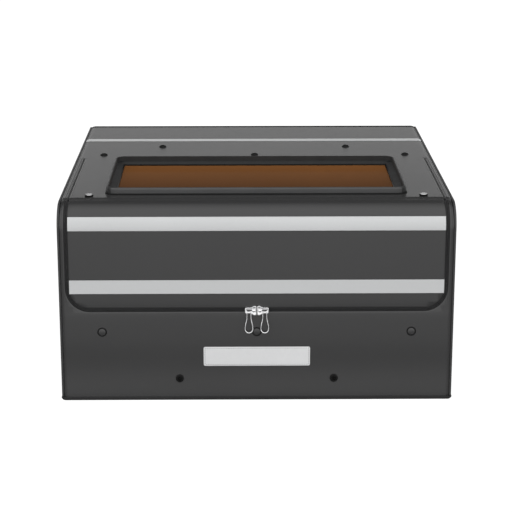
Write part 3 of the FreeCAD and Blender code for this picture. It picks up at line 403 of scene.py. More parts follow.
    def dress(self, material: bpy.types.Material, slot: str, body: str, *nodes: str) -> "Workpiece":
        """Gives the piece its finish and its body, and hides the CAD nodes that it stands for."""
        self.obj.data.materials.clear()
        self.obj.data.materials.append(material)
        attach(self.obj, body)
        if nodes:
            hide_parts(*nodes)
        LOG.info("%s rides on %s", self.obj.name, body)
        return self


def arc_points(centre: Point2, radius: float, start: float, end: float, steps: int) -> list[Vector]:
    """Points on an arc in flat coordinates.

    Args:
        centre: the arc's centre.
        radius: its radius.
        start: its first angle, in degrees.
        end: its last angle, in degrees.
        steps: how many steps it takes.

    Returns:
        The points, the first and the last included.
    """
    angles = [math.radians(start + (end - start) * i / steps) for i in range(steps + 1)]
    return [Vector((centre[0] + radius * math.cos(a), centre[1] + radius * math.sin(a), 0.0)) for a in angles]


def spaced(points: Sequence[Vector], pitch: float, closed: bool = False) -> list[tuple[Vector, Vector]]:
    """Evenly spaced places along a line.

    Args:
        points: the line's corners.
        pitch: the wanted distance from one place to the next.
        closed: whether the line goes back to its first point.

    Returns:
        Each place with the line's direction there.
    """
    path = list(points) + ([points[0]] if closed else [])
    lengths = [(b - a).length for a, b in zip(path, path[1:])]
    total = sum(lengths)
    count = max(1, round(total / pitch))
    step = total / count
    wanted = [step * (i + 0.5) for i in range(count)]
    placed = []
    walked = 0.0
    index = 0
    for length, a, b in zip(lengths, path, path[1:]):
        while index < count and wanted[index] <= walked + length:
            way = (b - a).normalized()
            placed.append((a + way * (wanted[index] - walked), way))
            index += 1
        walked += length
    return placed


def upright(place: Vector, way: Vector, lift: float = 0.0) -> Matrix:
    """Matrix that turns +X to a flat direction and moves to a place, lifted along t."""
    turn = Matrix.Rotation(math.atan2(way.y, way.x), 4, "Z")
    return Matrix.Translation((place.x, place.y, lift)) @ turn


# ------------------------------------------------------------------ places


@dataclass(frozen=True)
class Wrap:
    """The line that the cloth follows: up the front, over the top and down the rear."""

    front: float
    rear: float
    top: float
    front_bend: float
    rear_bend: float
    stiff_edge_y: float = -0.301
    edge_from: float = 338.0 * MM
    edge_width: float = 8.0 * MM
    edge_drop: float = 2.2 * MM
    slump: float = 0.18
    slump_reach: float = 80.0 * MM
    bow: float = 0.9 * MM
    bow_height: float = 112.0 * MM

    @property
    def bend_start(self) -> float:
        """Length s where the front bend begins."""
        return self.top - self.front_bend

    @property
    def top_start(self) -> float:
        """Length s where the flat top begins."""
        return self.bend_start + self.front_bend * math.pi / 2

    @property
    def top_end(self) -> float:
        """Length s where the rear bend begins."""
        return self.top_start + self.rear - self.front - self.front_bend - self.rear_bend

    @property
    def rear_start(self) -> float:
        """Length s where the rear wall begins."""
        return self.top_end + self.rear_bend * math.pi / 2

    @property
    def foot(self) -> float:
        """Length s at the foot of the rear wall."""
        return self.rear_start + self.top - self.rear_bend

    def s_at(self, y: float) -> float:
        """Length s of a place on the flat top."""
        return self.top_start + y - self.front - self.front_bend

    def slumped(self, s: float) -> float:
        """How far the cloth drops in front of the stiff edge under it."""
        past = self.s_at(self.stiff_edge_y) - s
        if not 0.0 < past < self.slump_reach:
            return 0.0
        return self.slump * past * (1.0 - past / self.slump_reach) ** 2

    def folds(self) -> list[float]:
        """Lengths s where a board needs edges, so that it can follow both bends."""
        edge = self.s_at(self.stiff_edge_y)
        return (stations(self.bend_start - 12.0 * MM, self.top_start, 4.0 * MM)
                + stations(self.top_start, edge, 2.0 * MM)[1:] + [edge + 0.8 * MM]
                + stations(self.top_end, self.rear_start, 3.0 * MM))

    def fold(self, co: Vector) -> Vector:
        """Folds a flat place over the box, and tucks in its lowest few millimetres at each side."""
        x, s, t = co
        t -= self.slumped(s)
        if s < self.bow_height and t > -MM:
            t -= self.bow * math.sin(math.pi * s / self.bow_height) ** 2
        t -= self.edge_drop * (max(0.0, abs(x) - self.edge_from) / self.edge_width) ** 2
        x -= math.copysign(tucked(min(s, self.foot - s), abs(x)), x)
        if s <= self.bend_start:
            return Vector((x, self.front - t, s))
        if s <= self.top_start:
            angle = (s - self.bend_start) / self.front_bend
            reach = self.front_bend + t
            return Vector((x, self.front + self.front_bend - reach * math.cos(angle),
                           self.top - self.front_bend + reach * math.sin(angle)))
        if s <= self.top_end:
            return Vector((x, self.front + self.front_bend + s - self.top_start, self.top + t))
        if s <= self.rear_start:
            angle = (s - self.top_end) / self.rear_bend
            reach = self.rear_bend + t
            return Vector((x, self.rear - self.rear_bend + reach * math.sin(angle),
                           self.top - self.rear_bend + reach * math.cos(angle)))
        return Vector((x, self.rear + t, self.top - self.rear_bend - (s - self.rear_start)))


@dataclass(frozen=True)
class Places:
    """Where things are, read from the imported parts."""

    wrap: Wrap
    half_width: float
    inner_half: float
    board: float
    flap_half: float
    flap_low: float
    zip_half: float
    zip_low: float
    lid_half: float
    crease_y: float
    hinge_y: float
    zip_corner: float

    @classmethod
    def read(cls, frame: dict) -> "Places":
        """Reads the places from the frame.


        Returns:
            The places of this object.
        """
        left_low, left_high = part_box("left_panel")
        _, front_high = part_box("front_panel")
        flap_low, flap_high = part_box("door_flap")
        tape_low, tape_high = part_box("zipper_tape")
        _, lid_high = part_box("lid_panel")
        hinges = {joint["name"]: joint["pos_m"] for joint in frame["joints"] if "pos_m" in joint}
        wrap = Wrap(front=left_low.y, rear=left_high.y, top=left_high.z,
                    front_bend=left_high.z - front_high.z, rear_bend=20.0 * MM)
        return cls(wrap=wrap, half_width=-left_low.x, inner_half=-left_high.x,
                   board=left_high.x - left_low.x, flap_half=flap_high.x, flap_low=flap_low.z,
                   zip_half=tape_high.x, zip_low=tape_low.z, lid_half=lid_high.x,
                   crease_y=hinges["flap_hinge"][1], hinge_y=hinges["lid_hinge"][1],
                   zip_corner=36.0 * MM)

    def u_line(self, out: float, top_s: float) -> list[Vector]:
        """The zip's U, from the left crease to the right one.

        Args:
            out: distance outside the flap's edge.
            top_s: length s where both ends stop.

        Returns:
            Points in flat coordinates, close enough together to fold.
        """
        half = self.flap_half + out
        low = self.flap_low - out
        radius = self.zip_corner + out
        step = 4.0 * MM
        rise = top_s - low - radius
        count = math.ceil(rise / step)
        side = [low + radius + rise * i / count for i in range(1, count + 1)]
        left = [Vector((-half, s, 0.0)) for s in reversed(side)]
        corner = arc_points((-half + radius, low + radius), radius, 180.0, 270.0, 14)
        along = [Vector((x, low, 0.0)) for x in stations(-half + radius, half - radius, 20.0 * MM)[1:-1]]
        other = arc_points((half - radius, low + radius), radius, 270.0, 360.0, 14)
        right = [Vector((half, s, 0.0)) for s in side]
        return left + corner + along + other + right


def tucked(height: float, reach: float, radius: float = 7.5 * MM, edge: float = 0.351) -> float:
    """How far a place near a side wall moves in, where the cloth turns under at the foot.

    Args:
        height: the place's height above the foot.
        reach: its distance from the middle plane.
        radius: radius of the turn.
        edge: distance of the outer face from the middle plane.

    Returns:
        The distance that it moves towards the middle.
    """
    if height >= radius or reach < edge - radius - 6.0 * MM:
        return 0.0
    return radius - math.sqrt(max(0.0, radius ** 2 - (radius - max(height, 0.0)) ** 2))


def stations(low: float, high: float, pitch: float) -> list[float]:
    """Even places from low to high, both included, at most pitch apart."""
    count = max(1, math.ceil((high - low) / pitch - 1e-6))
    return [low + (high - low) * i / count for i in range(count + 1)]


# ------------------------------------------------------------------ shader kit


class Desk:
    """A node tree, and short ways to put nodes in it."""

    def __init__(self, tree: bpy.types.NodeTree) -> None:
        """Takes over a node tree."""
        self.tree = tree
        self.count = 0

    def add(self, kind: str, **values: object) -> bpy.types.Node:
        """Adds a node and sets its properties."""
        node = self.tree.nodes.new(kind)
        node.location = (self.count % 8 * 190.0, -(self.count // 8) * 240.0)
        self.count += 1
        for key, value in values.items():
            setattr(node, key, value)
        return node

    def link(self, source: bpy.types.NodeSocket, target: bpy.types.NodeSocket) -> None:
        """Joins two sockets."""
        self.tree.links.new(source, target)

    def math(self, operation: str, first: object, second: object = None) -> bpy.types.NodeSocket:
        """Adds a math node on sockets or numbers and returns its result."""
        node = self.add("ShaderNodeMath", operation=operation)
        for index, value in enumerate((first, second)):
            if isinstance(value, bpy.types.NodeSocket):
                self.link(value, node.inputs[index])
            elif value is not None:
                node.inputs[index].default_value = value
        return node.outputs[0]

    def noise(self, vector: bpy.types.NodeSocket, scale: float, detail: float = 2.0) -> bpy.types.NodeSocket:
        """Adds a noise texture and returns its factor."""
        node = self.add("ShaderNodeTexNoise")
        node.inputs["Scale"].default_value = scale
        node.inputs["Detail"].default_value = detail
        self.link(vector, node.inputs["Vector"])
        return node.outputs["Fac"]

    def ramp(self, value: bpy.types.NodeSocket, low: float, high: float,
             to_low: float = 0.0, to_high: float = 1.0) -> bpy.types.NodeSocket:
        """Maps a range of a value to another range, and returns it."""
        node = self.add("ShaderNodeMapRange")
        self.link(value, node.inputs["Value"])
        for key, number in (("From Min", low), ("From Max", high), ("To Min", to_low), ("To Max", to_high)):
            node.inputs[key].default_value = number
        return node.outputs["Result"]


def new_group(name: str, inputs: dict[str, str], outputs: dict[str, str]) -> tuple[Desk, dict, dict]:
    """Starts a shader group with named sockets.

    Args:
        name: the group's name.
        inputs: socket name to socket type.
        outputs: socket name to socket type.

    Returns:
        The group's desk, its input sockets and its output sockets, by name.
    """
    tree = bpy.data.node_groups.new(name, "ShaderNodeTree")
    for key, kind in inputs.items():
        tree.interface.new_socket(name=key, in_out="INPUT", socket_type=kind)
    for key, kind in outputs.items():
        tree.interface.new_socket(name=key, in_out="OUTPUT", socket_type=kind)
    desk = Desk(tree)
    source = desk.add("NodeGroupInput")
    sink = desk.add("NodeGroupOutput")
    return desk, {k: source.outputs[k] for k in inputs}, {k: sink.inputs[k] for k in outputs}


class Effects:
    """Shader groups that several finishes share."""

    def __init__(self) -> None:
        """Builds each group once."""
        self.weave = self._weave()
        self.mottle = self._mottle()
        self.grain = self._grain()
        self.brushed = self._brushed()
        self.beads = self._beads()

    @staticmethod
    def _weave() -> bpy.types.NodeTree:
        """Plain weave: threads that pass over and under each other."""
        desk, given, put = new_group(
            "plain_weave", {"Vector": "NodeSocketVector", "Threads": "NodeSocketFloat"},
            {"Height": "NodeSocketFloat", "Tone": "NodeSocketFloat"})
        scaled = desk.add("ShaderNodeVectorMath", operation="SCALE")
        desk.link(given["Vector"], scaled.inputs[0])
        desk.link(given["Threads"], scaled.inputs["Scale"])
        parts = desk.add("ShaderNodeSeparateXYZ")
        desk.link(scaled.outputs[0], parts.inputs[0])
        waves, floors = [], []
        for key in ("X", "Y"):
            floors.append(desk.math("FLOOR", parts.outputs[key]))
            inside = desk.math("MULTIPLY", desk.math("FRACT", parts.outputs[key]), math.pi)
            waves.append(desk.math("SINE", inside))
        over = desk.math("PINGPONG", desk.math("ADD", floors[0], floors[1]), 1.0)
        warp = desk.math("MULTIPLY", waves[0], over)
        weft = desk.math("MULTIPLY", waves[1], desk.math("SUBTRACT", 1.0, over))
        height = desk.math("ADD", warp, weft)
        desk.link(height, put["Height"])
        desk.link(desk.ramp(height, 0.0, 1.0, 0.86, 1.07), put["Tone"])
        return desk.tree

    @staticmethod
    def _mottle() -> bpy.types.NodeTree:
        """Slow changes of tone, as in cloth that has been handled."""
        desk, given, put = new_group(
            "soft_mottle", {"Vector": "NodeSocketVector", "Strength": "NodeSocketFloat"},
            {"Tone": "NodeSocketFloat", "Dust": "NodeSocketFloat"})
        slow = desk.ramp(desk.noise(given["Vector"], 7.0, 3.0), 0.3, 0.7, -1.0, 1.0)
        fine = desk.ramp(desk.noise(given["Vector"], 160.0, 2.0), 0.3, 0.7, -0.5, 0.5)
        both = desk.math("MULTIPLY", desk.math("ADD", slow, fine), given["Strength"])
        desk.link(desk.math("ADD", both, 1.0), put["Tone"])
        desk.link(desk.ramp(desk.noise(given["Vector"], 45.0, 4.0), 0.52, 0.75), put["Dust"])
        return desk.tree

    @staticmethod
    def _grain() -> bpy.types.NodeTree:
        """Fine grain of moulded or powder-coated surfaces."""
        desk, given, put = new_group(
            "moulded_grain", {"Vector": "NodeSocketVector", "Scale": "NodeSocketFloat"},
            {"Height": "NodeSocketFloat", "Shine": "NodeSocketFloat"})
        cells = desk.add("ShaderNodeTexVoronoi", feature="SMOOTH_F1")
        desk.link(given["Vector"], cells.inputs["Vector"])
        desk.link(given["Scale"], cells.inputs["Scale"])
        desk.link(cells.outputs["Distance"], put["Height"])
        desk.link(desk.ramp(desk.noise(given["Vector"], 30.0, 4.0), 0.35, 0.7, -0.08, 0.10), put["Shine"])
        return desk.tree

    @staticmethod
    def _brushed() -> bpy.types.NodeTree:
        """Lines left by brushing or drawing along Y, and faint handling marks."""
        desk, given, put = new_group("brushed_lines", {"Vector": "NodeSocketVector"},
                                     {"Height": "NodeSocketFloat", "Shine": "NodeSocketFloat"})
        stretch = desk.add("ShaderNodeMapping")
        stretch.inputs["Scale"].default_value = (900.0, 14.0, 900.0)
        desk.link(given["Vector"], stretch.inputs["Vector"])
        lines = desk.noise(stretch.outputs[0], 1.0, 3.0)
        desk.link(lines, put["Height"])
        marks = desk.ramp(desk.noise(given["Vector"], 60.0, 5.0), 0.4, 0.75, -0.05, 0.12)
        desk.link(desk.math("ADD", marks, desk.ramp(lines, 0.3, 0.7, -0.05, 0.05)), put["Shine"])
        return desk.tree

    @staticmethod
    def _beads() -> bpy.types.NodeTree:
        """Glass beads of reflective tape."""
        desk, given, put = new_group("glass_beads", {"Vector": "NodeSocketVector"},
                                     {"Height": "NodeSocketFloat", "Tone": "NodeSocketFloat"})
        cells = desk.add("ShaderNodeTexVoronoi", feature="F1")
        cells.inputs["Scale"].default_value = 2600.0
        desk.link(given["Vector"], cells.inputs["Vector"])
        desk.link(cells.outputs["Distance"], put["Height"])
        desk.link(desk.ramp(cells.outputs["Distance"], 0.0, 0.8, 1.03, 0.94), put["Tone"])
        return desk.tree


@dataclass(frozen=True)
class Finish:
    """A surface finish: what every finish has in common."""

    name: str
    colour: tuple[float, float, float]
    roughness: float = 0.5
    specular: float = 0.5
    metallic: float = 0.0

    def material(self, effects: Effects) -> bpy.types.Material:
        """Builds the finish's material."""
        material = bpy.data.materials.new(self.name)
        material.use_nodes = True
        material.node_tree.nodes.clear()
        desk = Desk(material.node_tree)
        output = desk.add("ShaderNodeOutputMaterial")
        shader = desk.add("ShaderNodeBsdfPrincipled")
        shader.inputs["Base Color"].default_value = (*self.colour, 1.0)
        shader.inputs["Roughness"].default_value = self.roughness
        shader.inputs["Specular IOR Level"].default_value = self.specular
        shader.inputs["Metallic"].default_value = self.metallic
        desk.link(shader.outputs[0], output.inputs["Surface"])
        self.detail(desk, shader, effects)
        return material

    def detail(self, desk: Desk, shader: bpy.types.Node, effects: Effects) -> None:
        """Adds what makes this kind of finish look real."""

    @staticmethod
    def place_in(desk: Desk, group: bpy.types.NodeTree, vector: bpy.types.NodeSocket,
                 **values: float) -> bpy.types.Node:
        """Places a shared group with its own values."""
        node = desk.add("ShaderNodeGroup", node_tree=group)
        desk.link(vector, node.inputs["Vector"])
        for key, value in values.items():
            node.inputs[key].default_value = value
        return node

    @staticmethod
    def bump(desk: Desk, shader: bpy.types.Node, height: bpy.types.NodeSocket, depth: float) -> None:
        """Feeds a height through a bump node, with its depth in metres."""
        node = desk.add("ShaderNodeBump")
        node.inputs["Distance"].default_value = depth
        desk.link(height, node.inputs["Height"])
        desk.link(node.outputs[0], shader.inputs["Normal"])

    def tint(self, desk: Desk, shader: bpy.types.Node, *tones: bpy.types.NodeSocket) -> None:
        """Multiplies the colour by tones that change over the surface."""
        tone = tones[0]
        for other in tones[1:]:
            tone = desk.math("MULTIPLY", tone, other)
        scaled = desk.add("ShaderNodeVectorMath", operation="SCALE")
        scaled.inputs[0].default_value = self.colour
        desk.link(tone, scaled.inputs["Scale"])
        desk.link(scaled.outputs[0], shader.inputs["Base Color"])

    def shine(self, desk: Desk, shader: bpy.types.Node, change: bpy.types.NodeSocket) -> None:
        """Adds a change that varies over the surface to the roughness."""
        desk.link(desk.math("ADD", change, self.roughness), shader.inputs["Roughness"])


@dataclass(frozen=True)
class Cloth(Finish):
    """Coated woven cloth. Its weave follows the flat pattern."""

    threads: float = 1400.0
    depth: float = 0.00005
    mottle: float = 0.03

    def detail(self, desk: Desk, shader: bpy.types.Node, effects: Effects) -> None:
        """Weave, soft changes of tone and a little dust."""
        uv = desk.add("ShaderNodeUVMap", uv_map=PATTERN).outputs[0]
        place = desk.add("ShaderNodeTexCoord").outputs["Object"]
        weave = self.place_in(desk, effects.weave, uv, Threads=self.threads)
        mottle = self.place_in(desk, effects.mottle, place, Strength=self.mottle)
        self.tint(desk, shader, weave.outputs["Tone"], mottle.outputs["Tone"])
        self.shine(desk, shader, desk.ramp(mottle.outputs["Dust"], 0.0, 1.0, 0.0, 0.015))
        self.bump(desk, shader, weave.outputs["Height"], self.depth)


@dataclass(frozen=True)
class BeadedTape(Finish):
    """Reflective tape faced with glass beads."""

    def detail(self, desk: Desk, shader: bpy.types.Node, effects: Effects) -> None:
        """Beads and a soft mottle."""
        place = desk.add("ShaderNodeTexCoord").outputs["Object"]
        beads = self.place_in(desk, effects.beads, place)
        mottle = self.place_in(desk, effects.mottle, place, Strength=0.012)
        self.tint(desk, shader, beads.outputs["Tone"], mottle.outputs["Tone"])
        self.bump(desk, shader, beads.outputs["Height"], 0.00003)


@dataclass(frozen=True)
class Moulded(Finish):
    """Moulded plastic, rubber or powder coat with a fine grain."""

    grain: float = 1400.0
    depth: float = 0.00004

    def detail(self, desk: Desk, shader: bpy.types.Node, effects: Effects) -> None:
        """Grain, uneven shine and a soft mottle."""
        place = desk.add("ShaderNodeTexCoord").outputs["Object"]
        grain = self.place_in(desk, effects.grain, place, Scale=self.grain)
        mottle = self.place_in(desk, effects.mottle, place, Strength=0.03)
        self.tint(desk, shader, mottle.outputs["Tone"])
        self.shine(desk, shader, grain.outputs["Shine"])
        self.bump(desk, shader, grain.outputs["Height"], self.depth)


@dataclass(frozen=True)
class WindowPlastic(Moulded):
    """Moulded window frame: satin outside, and duller inside its rim, where painted shade also darkens its
    colour.
    """

    half_width: float = 0.2665
    front_y: float = -0.2760
    rear_y: float = -0.0135
    # Colour factor inside the rim: painted shade on the frame's inner walls.
    inside: float = 0.30
    inside_dull: float = 0.30

    def detail(self, desk: Desk, shader: bpy.types.Node, effects: Effects) -> None:
        """Grain as on other mouldings, with painted shade inside the rim."""
        place = desk.add("ShaderNodeTexCoord").outputs["Object"]
        parts = desk.add("ShaderNodeSeparateXYZ")
        desk.link(place, parts.inputs[0])
        across = desk.math("LESS_THAN", desk.math("ABSOLUTE", parts.outputs["X"]), self.half_width)
        front = desk.math("GREATER_THAN", parts.outputs["Y"], self.front_y)
        rear = desk.math("LESS_THAN", parts.outputs["Y"], self.rear_y)
        within = desk.math("MULTIPLY", across, desk.math("MULTIPLY", front, rear))
        grain = self.place_in(desk, effects.grain, place, Scale=self.grain)
        mottle = self.place_in(desk, effects.mottle, place, Strength=0.03)
        # Painted shade: the colour inside the rim is multiplied down by the inside factor.
        self.tint(desk, shader, mottle.outputs["Tone"], desk.ramp(within, 0.0, 1.0, 1.0, self.inside))
        dulled = desk.ramp(within, 0.0, 1.0, 0.0, self.inside_dull)
        self.shine(desk, shader, desk.math("ADD", grain.outputs["Shine"], dulled))
        self.bump(desk, shader, grain.outputs["Height"], self.depth)


@dataclass(frozen=True)
class Metal(Finish):
    """Drawn, brushed or plated metal."""

    depth: float = 0.00002

    def detail(self, desk: Desk, shader: bpy.types.Node, effects: Effects) -> None:
        """Brushed lines and handling marks."""
        place = desk.add("ShaderNodeTexCoord").outputs["Object"]
        lines = self.place_in(desk, effects.brushed, place)
        mottle = self.place_in(desk, effects.mottle, place, Strength=0.02)
        self.tint(desk, shader, mottle.outputs["Tone"])
        self.shine(desk, shader, lines.outputs["Shine"])
        self.bump(desk, shader, lines.outputs["Height"], self.depth)


@dataclass(frozen=True)
class AmberSheet(Finish):
    """Amber plastic sheet, with painted shade that darkens it from its rear edge to its front edge."""

    transmission: float = 0.35
    rear_y: float = -0.028
    front_y: float = -0.258

    def detail(self, desk: Desk, shader: bpy.types.Node, effects: Effects) -> None:
        """Transmission, a surface that is very slightly uneven, and painted shade towards the front edge."""
        shader.inputs["Transmission Weight"].default_value = self.transmission
        shader.inputs["IOR"].default_value = 1.02
        shader.inputs["Coat Weight"].default_value = 0.03
        shader.inputs["Coat Roughness"].default_value = 0.08
        place = desk.add("ShaderNodeTexCoord").outputs["Object"]
        wave = desk.noise(place, 9.0, 1.0)
        mottle = self.place_in(desk, effects.mottle, place, Strength=0.02)
        parts = desk.add("ShaderNodeSeparateXYZ")
        desk.link(place, parts.inputs[0])
        # Painted shade: the colour is darkened from the rear edge to the front edge.
        depth = desk.ramp(parts.outputs["Y"], self.front_y, self.rear_y, 0.36, 0.95)
        self.tint(desk, shader, mottle.outputs["Tone"], depth)
        self.shine(desk, shader, desk.ramp(mottle.outputs["Dust"], 0.0, 1.0, 0.0, 0.05))
        self.bump(desk, shader, wave, 0.0006)


FINISHES = (
    Cloth("wall_cloth", (0.030, 0.030, 0.0304), roughness=0.25, specular=0.5, depth=0.000005, mottle=0.02),
    Cloth("floor_cloth", (0.030, 0.030, 0.031), roughness=0.75, threads=900.0),
    Cloth("binding_cloth", (0.017, 0.017, 0.0174), roughness=0.50, threads=1800.0),
    Cloth("piping_cloth", (0.032, 0.032, 0.0325), roughness=0.45, threads=1800.0),
    Cloth("hem_cloth", (0.017, 0.017, 0.0174), roughness=0.62, specular=0.22, threads=1800.0),
    # Near-black binding without shine: partly painted shade along the rear edge of the top.
    Cloth("seam_binding", (0.006, 0.006, 0.0062), roughness=0.85, specular=0.0, threads=1800.0),
    Cloth("zip_cloth", (0.0105, 0.0105, 0.011), roughness=0.72, specular=0.3, threads=1900.0, depth=0.00008),
    Cloth("label_cloth", (0.66, 0.665, 0.67), roughness=0.62, threads=1500.0),
    Moulded("dark_thread", (0.030, 0.030, 0.0304), roughness=0.60, grain=4000.0),
    Moulded("zip_coil", (0.010, 0.010, 0.011), roughness=0.48, grain=3000.0),
    BeadedTape("reflective_tape", (0.53, 0.538, 0.542), roughness=0.42, specular=0.5),
    WindowPlastic("window_plastic", (0.042, 0.0422, 0.0426), roughness=0.42),
    Moulded("black_plastic", (0.012, 0.012, 0.0125), roughness=0.42),
    Moulded("black_dome", (0.004, 0.004, 0.004), roughness=0.35, specular=0.15, grain=500.0, depth=0.00001),
    Moulded("black_rubber", (0.008, 0.008, 0.008), roughness=0.55, grain=2200.0),
    Moulded("white_rod", (0.62, 0.62, 0.60), roughness=0.35, grain=900.0, depth=0.00002),
    Moulded("black_paint", (0.012, 0.012, 0.013), roughness=0.38, grain=1800.0),
    Moulded("green_key", (0.05, 0.30, 0.09), roughness=0.30, grain=700.0, depth=0.00001),
    Moulded("red_key", (0.45, 0.012, 0.010), roughness=0.28, grain=700.0, depth=0.00001),
    Metal("plated_zinc", (0.86, 0.86, 0.87), roughness=0.26, metallic=1.0),
    Metal("drawn_steel", (0.56, 0.56, 0.57), roughness=0.32, metallic=1.0),
    Metal("dark_anodised", (0.030, 0.030, 0.032), roughness=0.36, metallic=0.55),
    Metal("clear_anodised", (0.68, 0.68, 0.70), roughness=0.34, metallic=1.0),
    Metal("bed_steel", (0.42, 0.42, 0.43), roughness=0.40, metallic=1.0),
    AmberSheet("amber_sheet", (0.27, 0.112, 0.037), roughness=0.12, specular=0.0),
)


# ------------------------------------------------------------------ cloth boards


@dataclass
class Board:
    """A cloth-covered board, cut flat, with its seams pressed in, and then put in place."""

    name: str
    low: Point2
    high: Point2
    thickness: float
    corners: Sequence[tuple[float, float, float]] = ()
    openings: Sequence[tuple[float, float, float, float]] = ()
    folds: Sequence[float] = ()
    rim: float = 0.8 * MM
    spacing: float = 16.0 * MM
    dip: float = 0.3 * MM
    wave: float = 0.08 * MM
    seam_lines: tuple[float, ...] = (2.5 * MM, 6.0 * MM, 12.0 * MM)

    def _lines(self, axis: int) -> list[float]:
        """Places where the mesh is cut across one flat axis, so that seams and folds have shape."""
        lines = stations(self.low[axis], self.high[axis], self.spacing)[1:-1]
        for off in self.seam_lines:
            lines += [self.low[axis] + off, self.high[axis] - off]
            for opening in self.openings:
                lines += [opening[axis] - off, opening[axis + 2] + off]
        if axis == 1:
            lines += list(self.folds)
        return sorted(place for place in lines if self.low[axis] + MM < place < self.high[axis] - MM)

    def _from_edge(self, co: Vector) -> float:
        """Distance from a flat place to the nearest edge of the board or of an opening."""
        gaps = [co.x - self.low[0], self.high[0] - co.x, co.y - self.low[1], self.high[1] - co.y]
        for x0, s0, x1, s1 in self.openings:
            out_x = max(x0 - co.x, co.x - x1, 0.0)
            out_s = max(s0 - co.y, co.y - s1, 0.0)
            gaps.append(math.hypot(out_x, out_s))
        return max(min(gaps), 0.0)

    def _puff(self, co: Vector) -> Vector:
        """Presses the outer face in along its seams and gives the cloth a slow wave."""
        if co.z < -self.thickness * 0.5:
            return co
        reach = self._from_edge(co)
        press = self.dip * math.exp(-reach / (4.5 * MM))
        swell = self.wave * noise.noise(Vector((co.x * 9.0, co.y * 9.0, len(self.name))))
        co.z += swell * min(1.0, reach / (30.0 * MM)) - press
        return co

    def make(self, place: Callable[[Vector], Vector], smooth: float = 35.0) -> Workpiece:
        """Makes the board.

        Args:
            place: puts a flat place where it belongs on the object.
            smooth: edges flatter than this many degrees are shaded smoothly.

        Returns:
            The finished mesh.
        """
        piece = Workpiece.block(self.name, (*self.low, -self.thickness), (*self.high, 0.0))
        for x0, s0, x1, s1 in self.openings:
            margin = self.thickness
            low = (x0, s0, -self.thickness - margin)
            piece.cut(Workpiece.block("opening", low, (x1, s1, margin)))
        for x, s, radius in self.corners:
            spot = Vector((x, s, 0.0))
            piece.bevel(lambda edge: all((v.co.xy - spot.xy).length < TOUCH for v in edge.verts), radius, 10)
        piece.bevel(self._is_rim, self.rim, 2)
        for axis in (0, 1):
            piece.slice(axis, self._lines(axis))
        piece.reshape(self._puff)
        piece.flat_map()
        piece.reshape(place)
        return piece.outwards().smooth(smooth)

    @staticmethod
    def _is_rim(edge: bmesh.types.BMEdge) -> bool:
        """Whether an edge lies between a flat face and a side wall."""
        if len(edge.link_faces) != 2:
            return False
        slopes = sorted(abs(face.normal.z) for face in edge.link_faces)
        return slopes[0] < 0.1 and slopes[1] > 0.9


@dataclass
class Stitching:
    """Rows of small stitches in dark thread."""

    pitch: float = 4.2 * MM
    size: tuple[float, float, float] = (3.0 * MM, 0.75 * MM, 0.5 * MM)

    def row(self, name: str, lines: Sequence[Sequence[Vector]], place: Callable[[Vector], Vector],
            lift: float = 0.0, closed: bool = False) -> Workpiece:
        """Sews rows of stitches.

        Args:
            name: the piece's name.
            lines: the rows, in flat coordinates.
            place: puts a flat place where it belongs on the object.
            lift: height of the stitches above the face.
            closed: whether each row goes back to its first point.

        Returns:
            All the stitches as one piece.
        """
        unit = Workpiece.ball("stitch", (0.0, 0.0, 0.0), self.size, 6, 4)
        spots = [upright(spot, way, lift) for line in lines for spot, way in spaced(line, self.pitch, closed)]
        return unit.copies(name, spots).reshape(place).smooth(60.0)


def box_line(low: Point2, high: Point2) -> list[Vector]:
    """Corners of a flat rectangle, in order."""
    return [Vector((low[0], low[1], 0.0)), Vector((high[0], low[1], 0.0)),
            Vector((high[0], high[1], 0.0)), Vector((low[0], high[1], 0.0))]


def straight(start: Point2, end: Point2) -> list[Vector]:
    """A flat line from start to end, with points close enough together to fold."""
    a, b = Vector((*start, 0.0)), Vector((*end, 0.0))
    return [a.lerp(b, share) for share in stations(0.0, 1.0, 4.0 * MM / (b - a).length)]


